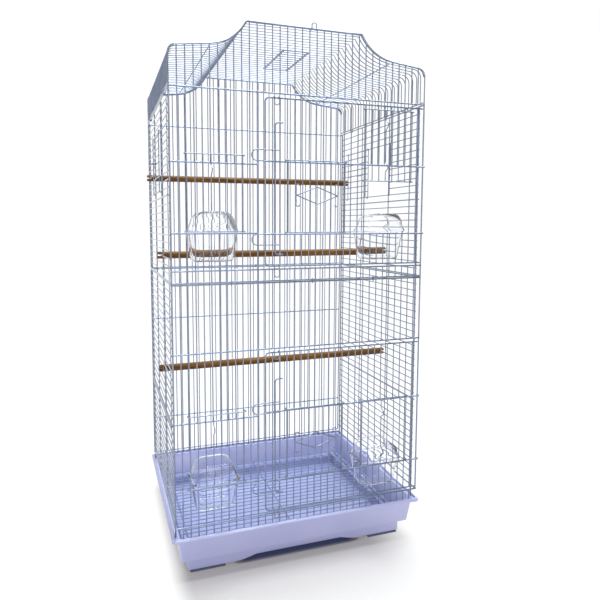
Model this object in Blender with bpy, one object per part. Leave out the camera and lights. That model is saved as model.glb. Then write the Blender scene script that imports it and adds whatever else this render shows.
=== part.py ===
"""Pagoda top bird cage: a two-storey welded wire cage on a moulded base, under a swept wire roof.

Metres, +Z up, the front faces -Y, the origin is on the floor under the middle of the base.
Every wire panel is laid out flat as a pattern of strips, placed or bent into its real shape and
thickened to the wire's own gauge.
"""

import math

import bmesh
import bpy
from mathutils import Vector

# Wire and clearances
PITCH = 0.0127             # spacing of the upright bars and of the roof wires
GAPS_WIDE = 35             # bar gaps across the front
GAPS_DEEP = 27             # bar gaps from front to back
BAR = 0.0020               # gauge of the mesh wire
RAIL = 0.0026              # width of a frame rail
POST = 0.0030              # width of a side panel's post
PIN = 0.0016               # gauge of the small clips
SLIP = 0.0004              # clearance between wires that touch
TURN = 0.0007              # clearance of a wire loop that turns or slides on a bar

# Heights, the bottom rail of the wire body being BODY_Z above the floor
BODY_Z = 0.092
LOWER_H = 0.396            # top rail of the lower storey
UPPER_H = 0.301            # upper storey, rail to rail
LOWER_SIDE_GAPS = 31       # wire gaps up a lower side
UPPER_SIDE_GAPS = 24
HEADER_Z = 0.2857          # rail over the lower main door
SILL_H = 0.019             # rail under the upper main door, above the upper bottom rail
BAR_TAIL = 0.0205          # bar ends below the bottom rail, standing inside the tray's rim
BACK_TAILS = 7             # every so many bars of the back has one
BACK_DROP = 0.0125         # bottom rail of the back below the other bottom rails

# Main doors, in bar numbers from the left
DOOR_BAR = 11              # last bar of the fixed half, the door frame standing at the next
STILE_BAR = 34             # hinge side of the door frame
DOOR_TOP_GAP = 0.0070      # door rail below the rail over it
DOOR_FOOT_GAP = 0.0050     # door rail above the rail under it
DOOR_CORNER = 0.006
LOWER_SASH = (0.0577, 0.1775)   # cross rails of the lower door, above the body rail
UPPER_SASH = (0.0765, 0.1935)   # cross rails of the upper door, above the upper bottom rail
LOWER_HATCH = (0.0617, 0.1730)  # cross rails of the fixed half, lower
UPPER_HATCH = (0.0780, 0.1880)
LEFT_HATCH_BARS = (2, 9)
RIGHT_HATCH_BARS = (26, 33)
CENTRE_BARS = (15, 23)
PULL_BAR = 14              # bar that carries the latch staples

# Guillotine doors
HATCH_DOOR_H = 0.1200      # top wire above bottom wire
HATCH_LIFT = 0.0870        # the upper right one stands raised in the photograph
SEAT = 0.0028              # lowest wire above the rail it closes on
EAR = 0.0035               # wire end past the side bar, before it turns back
KINK_OUT = 0.0095
KINK_H = 0.017
KINKS = (0.024, 0.0955)    # kink centres above the bottom wire
KINK_COLUMN = 3            # bar of the door that is kinked

# Latch staples and lock rods
STAPLE_REACH = 0.0495      # staple length to the left of its bar
STAPLE_H = 0.0175
ROD_X = -0.0094            # rod from its bar
ROD_END = 0.0044           # rod end past the bar
UPPER_ROD = (0.0430, UPPER_H - 0.0460)
LOWER_ROD = (0.0365, HEADER_Z - 0.0517)

# Door clips
CLIP_W = 0.0080
CLIP_DROP = {"top": 0.0115, "lower": 0.0138, "upper": 0.0185}

# Roof
CREST_Z = 0.107            # flat crest above the upper storey's top rail
CREST_W = 0.199
EAVE_Z = 0.047             # top of the roof's upright sides
EAVE_R = 0.0145            # rounded eave
SKIRT_IN = 0.0650          # sloping part, from the side towards the middle
SKIRT_Z = 0.0675           # its height where the sweep starts
EAVE_STEPS = 2
SWEEP_STEPS = 3
ROOF_LAP = 0.0034          # roof side rail above the side panel's top rail
CROSS_X = 0.157            # front to back wires of the roof, each side
HATCH_ROWS = (9, 19)       # roof opening, in roof wires from the front
ROOF_HATCH_W = 0.0508
HANGER_BAR = 18            # the bail stands between this bar and the next
HANGER_W = 0.0080
HANGER_H = 0.0085

# Nest openings in the upper sides
NEST_ROWS = (12, 20)       # side wires
NEST_COLUMNS = (9, 17)     # bar columns from the front
NEST_SLIDE = 0.094
SIDE_BARS = (9, 18)
SIDE_BAND = {"lower": 13, "upper": 11}   # side wire that carries the band, below the nest opening

# Perches
PERCH_D = 0.0127
PERCH_OUT = 0.007
PERCH_SLOT = 0.0034
UPPER_PERCHES = ((0.145, 15), (-0.034, 3))     # distance from the middle, side wire it straddles
LOWER_PERCHES = ((-0.031, 18),)

# Cups
CUP_W = 0.080
CUP_D = 0.054
CUP_H = 0.048
CUP_WALL = 0.0018
CUP_DRAFT = 0.007
LIP = 0.0035
HOOD_H = 0.0303
HOOD_R = 0.018
HOOD_LEAN = 0.0155         # crown in front of the foot at the open end
HOOD_WALL = 0.0015

# Ornament on a centre door, from its middle
ORNAMENT_RISE = 0.0605     # above the door's lowest wire
DIAMOND_W = 0.0375
DIAMOND_H = 0.0140
SCROLL_H = 0.0180
SCROLL_IN = 0.0055

# Base
RIM_OVER = (0.00625, 0.00655)   # rim past the wire body, at the sides and at the front
RIM_Z = 0.075              # top of the rim above the floor
TRAY_WALL = 0.0025
STEP_IN = 0.0042           # step inside the rim that the bar ends stand on
STEP_DROP = 0.0038
TRAY_TOP_IN = 0.0080       # wall under the rim, in from the rim's edge
TRAY_FOOT_IN = 0.0165      # the same at the bottom of the wall
TRAY_FOOT_Z = 0.0265
BASIN_IN = 0.0330          # basin below the ledge
BASIN_Z = 0.0080
SKIRT_WALL = 0.0025
SKIRT_EDGE_IN = 0.0270
SKIRT_FOOT_Z = 0.0040
ARCH_Z = 0.0160
ARCH_W = 0.230
ARCH_D = 0.160
ARCH_RISE = 0.055          # length of the slope at each end of the arch
PAD = (0.060, 0.030)
CORNER_R = 0.014
GRILLE_INSET = 0.0060

WIRE_BLUE = (0.33, 0.42, 0.60, 1.0)
PLASTIC_BLUE = (0.42, 0.43, 0.67, 1.0)
WOOD = (0.42, 0.24, 0.09, 1.0)
CLEAR = (0.86, 0.89, 0.93, 1.0)
PAD_GREY = (0.13, 0.15, 0.22, 1.0)

HALF_W = GAPS_WIDE * PITCH / 2
HALF_D = GAPS_DEEP * PITCH / 2
RIM_W = 2 * (HALF_W + RIM_OVER[0])
RIM_D = 2 * (HALF_D + RIM_OVER[1])
UPPER_Z = BODY_Z + LOWER_H + RAIL + SLIP
TOP_Z = UPPER_Z + UPPER_H
FRONT_LAYER = BAR + SLIP   # distance between two layers of wire
SIDE_POST = HALF_D - PITCH
ROUND_BAR = math.hypot(BAR, BAR) / 2 + 0.0001    # radius that clears a bar all round
ROUND_RAIL = math.hypot(BAR, RAIL) / 2 + 0.0001
# the kinked doors reach further forward than the base does backward
KINK_TIP = BAR / 2 * math.hypot(1, KINK_OUT / (KINK_H / 2))
FRONT_REACH = HALF_D + FRONT_LAYER + KINK_OUT + KINK_TIP
CENTRE_Y = (FRONT_REACH - RIM_D / 2) / 2


def clear_scene():
    for old in list(bpy.data.objects):
        bpy.data.objects.remove(old, do_unlink=True)


def material(name, colour, roughness, metallic=0.0):
    made = bpy.data.materials.new(name)
    made.use_nodes = True
    shader = made.node_tree.nodes["Principled BSDF"]
    shader.inputs["Base Color"].default_value = colour
    shader.inputs["Roughness"].default_value = roughness
    shader.inputs["Metallic"].default_value = metallic
    return made


def add_object(name, bm, finish, parent=None):
    bmesh.ops.recalc_face_normals(bm, faces=bm.faces[:])
    mesh = bpy.data.meshes.new(name)
    bm.to_mesh(mesh)
    bm.free()
    mesh.materials.append(finish)
    made = bpy.data.objects.new(name, mesh)
    bpy.context.scene.collection.objects.link(made)
    if parent is not None:
        made.parent = parent
        made.matrix_parent_inverse = parent.matrix_world.inverted()
    return made


def pivot(name, place):
    """An empty on a joint's axis."""
    made = bpy.data.objects.new(name, None)
    made.location = place
    bpy.context.scene.collection.objects.link(made)
    bpy.context.view_layer.update()
    return made


# Flat patterns

def bar_x(number):
    return (number - GAPS_WIDE / 2) * PITCH


def row_y(number):
    return (number - GAPS_DEEP / 2) * PITCH


def upright(u, low, high, width=BAR):
    return (u - width / 2, u + width / 2, low, high)


def level(v, left, right, width=RAIL):
    return (left, right, v - width / 2, v + width / 2)


def cells_of(strips):
    """Cut the strips along each other's edges, so that crossing wires share their corners."""
    us = sorted({round(side, 7) for strip in strips for side in strip[:2]})
    vs = sorted({round(side, 7) for strip in strips for side in strip[2:]})
    cells = []
    for left, right in zip(us, us[1:]):
        for low, high in zip(vs, vs[1:]):
            u = (left + right) / 2
            v = (low + high) / 2
            if any(s[0] < u < s[1] and s[2] < v < s[3] for s in strips):
                cells.append(((left, low), (right, low), (right, high), (left, high)))
    return cells


def corner_cells(u, v, side_u, side_v, width, radius, steps=3):
    """Quarter ring that turns an upright edge bar into a rail, at the corner (u, v)."""
    centre = (u - side_u * radius, v - side_v * radius)
    cells = []
    for step in range(steps):
        for inner, outer in ((-1, 0), (0, 1)):
            ring = []
            for part, offset in ((0, inner), (0, outer), (1, outer), (1, inner)):
                angle = math.pi / 2 * (step + part) / steps
                reach = radius + offset * width / 2
                ring.append((centre[0] + side_u * reach * math.cos(angle),
                             centre[1] + side_v * reach * math.sin(angle)))
            cells.append(ring)
    return cells


def wire_sheet(name, cells, place, finish, parent=None, gauge=BAR):
    """Lay the cells out with place(u, v) and thicken them to the wire's gauge."""
    bm = bmesh.new()
    corners = {}
    for cell in cells:
        ring = []
        for u, v in cell:
            key = (round(u, 6), round(v, 6))
            if key not in corners:
                corners[key] = bm.verts.new(place(u, v))
            ring.append(corners[key])
        bm.faces.new(ring)
    made = add_object(name, bm, finish, parent)
    skin = made.modifiers.new("gauge", "SOLIDIFY")
    skin.thickness = gauge
    skin.offset = 0.0
    skin.use_even_offset = True
    return made


def front_plane(y):
    return lambda u, v: Vector((u, y, v))


def side_plane(x):
    return lambda u, v: Vector((x, u, v))


# Round and bent wires

def rod_mesh(bm, path, width):
    """Square wire along a path, mitred at its bends."""
    path = [Vector(p) for p in path]
    ways = [(b - a).normalized() for a, b in zip(path, path[1:])]
    side = Vector((1, 0, 0)) if abs(ways[0].x) < 0.9 else Vector((0, 0, 1))
    side = (side - ways[0] * side.dot(ways[0])).normalized()
    rings = []
    for index, point in enumerate(path):
        before = ways[max(index - 1, 0)]
        after = ways[min(index, len(ways) - 1)]
        if index:
            turn = before.rotation_difference(after)
        else:
            turn = None
        up = before.cross(side).normalized()
        mitre = (before + after).normalized()
        ring = []
        for a, b in ((-1, -1), (1, -1), (1, 1), (-1, 1)):
            offset = side * (a * width / 2) + up * (b * width / 2)
            # slide the corner along the incoming wire onto the mitre plane
            slide = -offset.dot(mitre) / before.dot(mitre)
            ring.append(bm.verts.new(point + offset + before * slide))
        rings.append(ring)
        if turn is not None:
            side = turn @ side
    for near, far in zip(rings, rings[1:]):
        for k in range(4):
            bm.faces.new((near[k], near[(k + 1) % 4], far[(k + 1) % 4], far[k]))
    bm.faces.new(rings[0][::-1])
    bm.faces.new(rings[-1])


def rod(name, path, width, finish, parent=None):
    bm = bmesh.new()
    rod_mesh(bm, path, width)
    return add_object(name, bm, finish, parent)


def weld(target, path, width, finish):
    """Weld a bent wire onto a panel."""
    helper = rod(target.name + "_weld", path, width, finish)
    helper.hide_render = True
    helper.display_type = "WIRE"
    helper.parent = target.parent
    if target.parent is not None:
        helper.matrix_parent_inverse = target.parent.matrix_world.inverted()
    join = target.modifiers.new("weld", "BOOLEAN")
    join.operation = "UNION"
    join.solver = "EXACT"
    join.object = helper


# Wire storeys

def hatch_strips(bars, rails, foot, top):
    """Bars of a stretch with a hatch: those inside it stop at its two rails."""
    first, last = bars
    strips = []
    for number in range(first + 1, last):
        strips.append(upright(bar_x(number), foot, rails[0]))
        strips.append(upright(bar_x(number), rails[1], top))
    return strips


def fixed_half(foot, rail, rails, top):
    """Left half of a front: the bars up to the door, with the feeding hatch."""
    strips = hatch_strips(LEFT_HATCH_BARS, rails, foot, top)
    inside = range(LEFT_HATCH_BARS[0] + 1, LEFT_HATCH_BARS[1])
    for number in range(DOOR_BAR + 1):
        if number not in inside:
            # the corner bar ends at the bottom rail, the tray's corner being round
            strips.append(upright(bar_x(number), foot if number else rail, top))
    for height in rails:
        strips.append(level(height, bar_x(0), bar_x(DOOR_BAR)))
    return strips


def lower_front(finish):
    foot = BODY_Z - BAR_TAIL
    top = BODY_Z + LOWER_H
    header = BODY_Z + HEADER_Z
    hatch = [BODY_Z + h for h in LOWER_HATCH]
    strips = fixed_half(foot, BODY_Z, hatch, top)
    strips.append(upright(bar_x(GAPS_WIDE), BODY_Z, top))
    for number in range(DOOR_BAR + 1, GAPS_WIDE):
        strips.append(upright(bar_x(number), foot, BODY_Z))
        strips.append(upright(bar_x(number), header, top))
    for height in (BODY_Z, header, top):
        strips.append(level(height, -HALF_W - BAR / 2, HALF_W + BAR / 2))
    return wire_sheet("lower_front_panel", cells_of(strips), front_plane(-HALF_D), finish)


def roof_profile():
    """Half of the roof's outline, from the foot of its side to the middle of the crest."""
    outline = [(HALF_W, 0.0), (HALF_W, EAVE_Z)]
    for step in range(1, EAVE_STEPS + 1):
        angle = math.pi / 2 * step / EAVE_STEPS
        outline.append((HALF_W - EAVE_R * (1 - math.cos(angle)),
                        EAVE_Z + EAVE_R * math.sin(angle)))
    start = Vector((HALF_W - SKIRT_IN, SKIRT_Z))
    crest = Vector((CREST_W / 2, CREST_Z))
    bend = Vector((crest.x + (CREST_Z - SKIRT_Z) * 0.46, SKIRT_Z + (start.x - crest.x) * 0.10))
    for step in range(SWEEP_STEPS + 1):
        t = step / SWEEP_STEPS
        point = start * (1 - t) ** 2 + bend * 2 * t * (1 - t) + crest * t ** 2
        outline.append((point.x, point.y))
    return outline


def roof_height(x):
    """Height of the roof's wire line over the top rail at a distance from the middle."""
    outline = [p for p in roof_profile() if p[1] >= EAVE_Z]
    x = abs(x)
    if x <= outline[-1][0]:
        return outline[-1][1]
    for far, near in zip(outline, outline[1:]):
        if near[0] <= x <= far[0]:
            share = (x - near[0]) / (far[0] - near[0])
            return near[1] + (far[1] - near[1]) * share
    return outline[0][1]


def gable_cells(strips, foot):
    """Bars carried on to the roof line, with the bent edge wire over them."""
    base = TOP_Z + EAVE_Z
    edge = [p[0] for p in roof_profile() if p[1] >= EAVE_Z]
    for number in range(GAPS_WIDE + 1):
        strips.append(upright(bar_x(number), foot, base - RAIL / 2))
    stops = sorted([-x for x in edge] + edge)
    stops[0] = -HALF_W - BAR / 2
    stops[-1] = HALF_W + BAR / 2
    for left, right in zip(stops, stops[1:]):
        strips.append(level(base, left, right))
    return cells_of(strips)


def gable_plane(y):
    base = TOP_Z + EAVE_Z - RAIL / 2 - 1e-6

    def place(u, v):
        lift = roof_height(u) - EAVE_Z if v > base else 0.0
        return Vector((u, y, v + lift))

    return place


def upper_front(finish):
    top = TOP_Z
    sill = UPPER_Z + SILL_H
    hatch = [UPPER_Z + h for h in UPPER_HATCH]
    strips = fixed_half(UPPER_Z, UPPER_Z, hatch, top)
    strips.append(upright(bar_x(GAPS_WIDE), UPPER_Z, top))
    for number in range(DOOR_BAR + 1, GAPS_WIDE):
        strips.append(upright(bar_x(number), UPPER_Z, sill))
    for height in (UPPER_Z, sill, top):
        strips.append(level(height, -HALF_W - BAR / 2, HALF_W + BAR / 2))
    cells = gable_cells(strips, top)
    return wire_sheet("upper_front_panel", cells, gable_plane(-HALF_D), finish)


def back_rails(panel, y, heights, finish):
    """Thin rails across the back, welded to the end bars only."""
    for height in heights:
        path = [(-HALF_W, y, height), (-HALF_W, y + FRONT_LAYER, height),
                (HALF_W, y + FRONT_LAYER, height), (HALF_W, y, height)]
        weld(panel, path, BAR, finish)


def backs(finish):
    ends = (-HALF_W - BAR / 2, HALF_W + BAR / 2)
    top = BODY_Z + LOWER_H
    rail = BODY_Z - BACK_DROP
    strips = []
    for number in range(GAPS_WIDE + 1):
        tailed = number % BACK_TAILS == BACK_TAILS // 2
        foot = BODY_Z - BAR_TAIL if tailed else rail
        strips.append(upright(bar_x(number), foot, top))
    strips += [level(rail, *ends), level(top, *ends)]
    lower = wire_sheet("lower_back_panel", cells_of(strips), front_plane(HALF_D), finish)
    back_rails(lower, HALF_D, (BODY_Z + 0.066, BODY_Z + 0.287), finish)
    strips = [level(UPPER_Z, *ends)]
    cells = gable_cells(strips, UPPER_Z)
    upper = wire_sheet("upper_back_panel", cells, gable_plane(HALF_D), finish)
    back_rails(upper, HALF_D, (TOP_Z,), finish)


def side_wires(bottom, height, gaps):
    return [bottom + height * number / gaps for number in range(gaps + 1)]


def side_frame(bottom, height, tail):
    """Posts and rails of a side panel."""
    reach = HALF_D - BAR / 2 - SLIP
    top = bottom + height
    strips = [upright(side * SIDE_POST, bottom - tail, top, POST) for side in (-1, 1)]
    for v in (bottom, bottom + height):
        strips.append(level(v, -reach, reach))
    return strips


def inner_bars(panel, x, inward, bottom, height, band, finish):
    """Two uprights and one thicker band wire on the inside, welded at their ends."""
    deep = x + inward * FRONT_LAYER
    for number in SIDE_BARS:
        y = row_y(number)
        path = [(x, y, bottom), (deep, y, bottom), (deep, y, bottom + height),
                (x, y, bottom + height)]
        weld(panel, path, BAR, finish)
    deep = x - inward * FRONT_LAYER
    path = [(x, -SIDE_POST, band), (deep, -SIDE_POST, band), (deep, SIDE_POST, band),
            (x, SIDE_POST, band)]
    weld(panel, path, BAR, finish)


def lower_side(side, finish):
    wires = side_wires(BODY_Z, LOWER_H, LOWER_SIDE_GAPS)
    strips = side_frame(BODY_Z, LOWER_H, BAR_TAIL)
    for v in wires[1:-1]:
        strips.append(level(v, -SIDE_POST, SIDE_POST, BAR))
    name = "lower_right_panel" if side > 0 else "lower_left_panel"
    panel = wire_sheet(name, cells_of(strips), side_plane(side * HALF_W), finish)
    band = wires[SIDE_BAND["lower"]]
    inner_bars(panel, side * HALF_W, -side, BODY_Z, LOWER_H, band, finish)


def upper_side(side, finish):
    wires = side_wires(UPPER_Z, UPPER_H, UPPER_SIDE_GAPS)
    strips = side_frame(UPPER_Z, UPPER_H, 0.0)
    near, far = [row_y(number) for number in NEST_COLUMNS]
    low, high = [wires[number] for number in NEST_ROWS]
    for number in range(1, UPPER_SIDE_GAPS):
        if NEST_ROWS[0] < number < NEST_ROWS[1]:
            strips.append(level(wires[number], -SIDE_POST, near, BAR))
            strips.append(level(wires[number], far, SIDE_POST, BAR))
        else:
            strips.append(level(wires[number], -SIDE_POST, SIDE_POST, BAR))
    for y in (near, far):
        strips.append(upright(y, low - BAR / 2, high + BAR / 2))
    name = "upper_right_panel" if side > 0 else "upper_left_panel"
    panel = wire_sheet(name, cells_of(strips), side_plane(side * HALF_W), finish)
    band = wires[SIDE_BAND["upper"]]
    inner_bars(panel, side * HALF_W, -side, UPPER_Z, UPPER_H, band, finish)


# Roof

def roof_line():
    """The whole outline as points with their distance along the wire."""
    half = roof_profile()
    points = [(-x, z) for x, z in half] + [(x, z) for x, z in reversed(half)]
    along = [0.0]
    for a, b in zip(points, points[1:]):
        along.append(along[-1] + math.dist(a, b))
    middle = along[-1] / 2
    return points, [s - middle for s in along]


def roof_place(u, v):
    """Bend the flat roof pattern over the outline: u runs along it, v from front to back."""
    points, along = roof_line()
    for k in range(len(along) - 1):
        if u <= along[k + 1] or k == len(along) - 2:
            share = (u - along[k]) / (along[k + 1] - along[k])
            x = points[k][0] + (points[k + 1][0] - points[k][0]) * share
            z = points[k][1] + (points[k + 1][1] - points[k][1]) * share
            return Vector((x, v, TOP_Z + ROOF_LAP + z * (1 - ROOF_LAP / CREST_Z)))
    return None


def roof_mesh(finish):
    points, along = roof_line()
    strips = []
    reach = HALF_D - BAR / 2 - SLIP
    for number in range(1, GAPS_DEEP):
        y = row_y(number)
        spans = [(along[0], along[-1])]
        if HATCH_ROWS[0] < number < HATCH_ROWS[1]:
            spans = [(along[0], 0.0), (ROOF_HATCH_W, along[-1])]
        for left, right in spans:
            stops = [left] + [s for s in along if left < s < right] + [right]
            for a, b in zip(stops, stops[1:]):
                strips.append(level(y, a, b, BAR))
    for end, turn in ((along[0], 1), (along[-1], -1)):
        a, b = sorted((end, end + turn * RAIL))
        strips.append((a, b, -reach, reach))
    front, back = [row_y(number) for number in HATCH_ROWS]
    for u in (0.0, ROOF_HATCH_W):
        strips.append(upright(u, front, back, BAR))
    return wire_sheet("roof_mesh", cells_of(strips), roof_place, finish)


def roof_cross_wires(roof, finish):
    """Front to back wires under the roof mesh, welded to its first and last wire."""
    first = row_y(1)
    last = row_y(GAPS_DEEP - 1)
    for x in (-CROSS_X, CROSS_X):
        z = TOP_Z + ROOF_LAP + roof_height(x) * (1 - ROOF_LAP / CREST_Z)
        path = [(x, first, z), (x, first, z - FRONT_LAYER), (x, last, z - FRONT_LAYER),
                (x, last, z)]
        weld(roof, path, BAR, finish)


def roof_top():
    return TOP_Z + ROOF_LAP + CREST_Z * (1 - ROOF_LAP / CREST_Z)


def roof_door(finish):
    """Hatch over the crest, hinged on the wire along the middle."""
    z = roof_top()
    axle = pivot("roof_door_pivot", (0.0, 0.0, z))
    front = row_y(HATCH_ROWS[0]) + BAR + SLIP
    back = row_y(HATCH_ROWS[1]) - BAR - SLIP
    left = BAR + TURN
    right = ROOF_HATCH_W - BAR - SLIP
    strips = [level(y, left, right, BAR) for y in (front, back)]
    for number in range(HATCH_ROWS[0] + 1, HATCH_ROWS[1]):
        strips.append(level(row_y(number), left, right, BAR))
    for x in (left, right):
        strips.append(upright(x, front - BAR / 2, back + BAR / 2))
    flat = lambda u, v: Vector((u, v, z))
    door = wire_sheet("roof_door", cells_of(strips), flat, finish, axle)
    # hooks round the hinge wire, and two rests that lie on the far edge of the opening
    grip = ROUND_BAR + PIN / 2
    rest = (BAR + PIN) / 2 + SLIP
    for number in (HATCH_ROWS[0] + 2, HATCH_ROWS[1] - 3):
        y = row_y(number) + PITCH / 2
        weld(door, [(left, y, z), (left, y, z + grip), (-grip, y, z + grip),
                    (-grip, y, z - BAR / 2)], PIN, finish)
        weld(door, [(right, y, z), (right, y, z + rest),
                    (ROOF_HATCH_W + BAR, y, z + rest)], PIN, finish)
    return door


def roof_hanger(finish):
    """Small bail hooked round the edge wire of the front, at the crest."""
    z = TOP_Z + CREST_Z
    y = -HALF_D
    x = bar_x(HANGER_BAR) + PITCH / 2
    axle = pivot("roof_hanger_pivot", (x, y, z))
    grip = ROUND_RAIL + PIN / 2
    path = []
    for side, order in ((-1, 1), (1, -1)):
        leg = [(x + side * HANGER_W / 2, y + grip, z + BAR / 2),
               (x + side * HANGER_W / 2, y + grip, z - grip),
               (x + side * HANGER_W / 2, y - grip, z - grip),
               (x + side * HANGER_W / 2, y - grip, z + HANGER_H)]
        path += leg[::order]
    return rod("roof_hanger", path, PIN, finish, axle)


# Main doors

def main_door(name, foot, top, sash, finish):
    """Door frame with its bars, two cross rails, a hatch and a centre opening."""
    post = bar_x(GAPS_WIDE)
    left = bar_x(DOOR_BAR + 1)
    stile = bar_x(STILE_BAR)
    low = foot + DOOR_FOOT_GAP
    high = top - DOOR_TOP_GAP
    axle = pivot(name + "_hinge", (post, -HALF_D, (low + high) / 2))
    tip = post - BAR / 2 - TURN - SLIP
    loop = BAR / 2 + TURN + BAR / 2
    bend = stile + RAIL / 2 + 0.0022
    strips = []
    strips.append(upright(left, low + DOOR_CORNER, high - DOOR_CORNER, RAIL))
    strips.append(upright(stile, low, high, RAIL))
    for height in (low, high):
        strips.append(level(height, left + DOOR_CORNER, tip))
    # the cross rails run on, step forward of the post and turn round it
    path = [(bend, 0.0), (bend, -loop), (post + loop, -loop), (post + loop, loop),
            (post - 0.0008, loop)]
    lengths = [0.0]
    for a, b in zip(path, path[1:]):
        lengths.append(lengths[-1] + math.dist(a, b))
    for height in sash:
        strips.append(level(height, left, bend))
        for a, b in zip(lengths, lengths[1:]):
            strips.append(level(height, bend + a, bend + b))
    opened = []
    for first, last in (CENTRE_BARS, RIGHT_HATCH_BARS):
        strips += hatch_strips((first, last), sash, low, high)
        opened += range(first + 1, last)
    for number in range(DOOR_BAR + 2, STILE_BAR):
        if number not in opened:
            width = RAIL if number == PULL_BAR else BAR
            strips.append(upright(bar_x(number), low, high, width))
    cells = cells_of(strips)
    for height, side in ((low, -1), (high, 1)):
        cells += corner_cells(left, height, -1, side, RAIL, DOOR_CORNER)

    def place(u, v):
        if u <= bend:
            return Vector((u, -HALF_D, v))
        run = u - bend
        for k in range(len(path) - 1):
            if run <= lengths[k + 1] + 1e-7:
                share = (run - lengths[k]) / (lengths[k + 1] - lengths[k])
                x = path[k][0] + (path[k + 1][0] - path[k][0]) * share
                y = path[k][1] + (path[k + 1][1] - path[k][1]) * share
                return Vector((x, y - HALF_D, v))
        return Vector((path[-1][0], path[-1][1] - HALF_D, v))

    door = wire_sheet(name, cells, place, finish, axle)
    # latch staples stand clear of the lock rod
    bar = bar_x(PULL_BAR)
    out = -HALF_D - 2 * FRONT_LAYER - SLIP
    for height, way in ((sash[0], -1), (sash[1], 1)):
        far = bar - STAPLE_REACH
        next_z = height + way * STAPLE_H
        path_s = [(bar, -HALF_D, height), (bar, out, height), (far, out, height),
                  (far, out, next_z), (bar, out, next_z), (bar, -HALF_D, next_z)]
        weld(door, path_s, BAR, finish)
    return axle


def lock_rod(name, ends, parent, finish):
    """Rod behind the staples, its ends bent across the bar."""
    bar = bar_x(PULL_BAR)
    y = -HALF_D - FRONT_LAYER
    x = bar + ROD_X
    tip = bar + ROD_END
    path = [(tip, y, ends[0]), (x, y, ends[0]), (x, y, ends[1]), (tip, y, ends[1])]
    return rod(name, path, BAR, finish, parent)


def door_clip(name, rail, drop, parent, finish):
    """U of thin wire hung over a door rail, in front of the rail next to it."""
    middle = (bar_x(PULL_BAR) + bar_x(PULL_BAR - 1)) / 2
    grip = ROUND_RAIL + PIN / 2
    front = -HALF_D - grip
    back = -HALF_D + grip
    top = rail + grip
    axle = pivot(name + "_pivot", (middle, -HALF_D, rail))
    axle.parent = parent
    axle.matrix_parent_inverse = parent.matrix_world.inverted()
    bpy.context.view_layer.update()
    low = rail - drop
    path = []
    for x, order in ((middle - CLIP_W / 2, 1), (middle + CLIP_W / 2, -1)):
        leg = [(x, back, rail + 0.0005), (x, back, top), (x, front, top), (x, front, low)]
        path += leg[::order]
    return rod(name, path, PIN, finish, axle)


# Guillotine doors

def slide_door(name, bars, foot, height, finish, parent, lift=0.0, kinks=()):
    """Bars between two end wires whose tips turn back round the guide bars."""
    first, last = bars
    y = -HALF_D - FRONT_LAYER
    left = bar_x(first)
    right = bar_x(last)
    low = foot + lift
    high = low + height
    loop = EAR
    deep = 2 * FRONT_LAYER
    grip = loop - 0.0004
    turned = (0.0, deep, deep + grip)
    strips = []
    for v in (low, high):
        strips.append(level(v, left - loop, right + loop, BAR))
        for a, b in zip(turned, turned[1:]):
            strips.append(level(v, left - loop - b, left - loop - a, BAR))
            strips.append(level(v, right + loop + a, right + loop + b, BAR))
    kinked = bar_x(first + KINK_COLUMN) if kinks else None
    for number in range(first, last + 1):
        x = bar_x(number)
        stops = [low, high]
        if x == kinked:
            for k in kinks:
                stops += [low + k - KINK_H / 2, low + k, low + k + KINK_H / 2]
        stops.sort()
        for a, b in zip(stops, stops[1:]):
            strips.append(upright(x, a, b))

    def place(u, v):
        out = 0.0
        if kinked is not None and abs(u - kinked) < BAR:
            for k in kinks:
                out = max(out, 1 - abs(v - low - k) / (KINK_H / 2))
        out = max(out, 0.0) * KINK_OUT
        over = max(left - loop - u, u - right - loop)
        if over <= 0:
            return Vector((u, y - out, v))
        side = -1 if u < 0.5 * (left + right) else 1
        edge = left - loop if side < 0 else right + loop
        if over <= deep:
            return Vector((edge, y + over, v))
        return Vector((edge - side * (over - deep), y + deep, v))

    return wire_sheet(name, cells_of(strips), place, finish, parent)


def ornament(name, door_foot, parent, finish):
    """Scrolled diamond wired to the front of a centre door."""
    y = -HALF_D - 2 * FRONT_LAYER
    middle = (bar_x(CENTRE_BARS[0]) + bar_x(CENTRE_BARS[1])) / 2
    z = door_foot + ORNAMENT_RISE
    crook = DIAMOND_H * 0.09
    made = None
    for way in (1, -1):
        half = [(DIAMOND_W, -way * crook), (DIAMOND_W, -way * (SCROLL_H - DIAMOND_H * 0.18)),
                (DIAMOND_W - SCROLL_IN, -way * SCROLL_H)]
        path = [(middle - x, y, z + v) for x, v in half[::-1]]
        path += [(middle, y, z + way * DIAMOND_H)] + [(middle + x, y, z + v) for x, v in half]
        if made is None:
            bm = bmesh.new()
            rod_mesh(bm, path, BAR)
            made = add_object(name, bm, finish, parent)
        else:
            weld(made, path, BAR, finish)
    return made


# Nest doors

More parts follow.
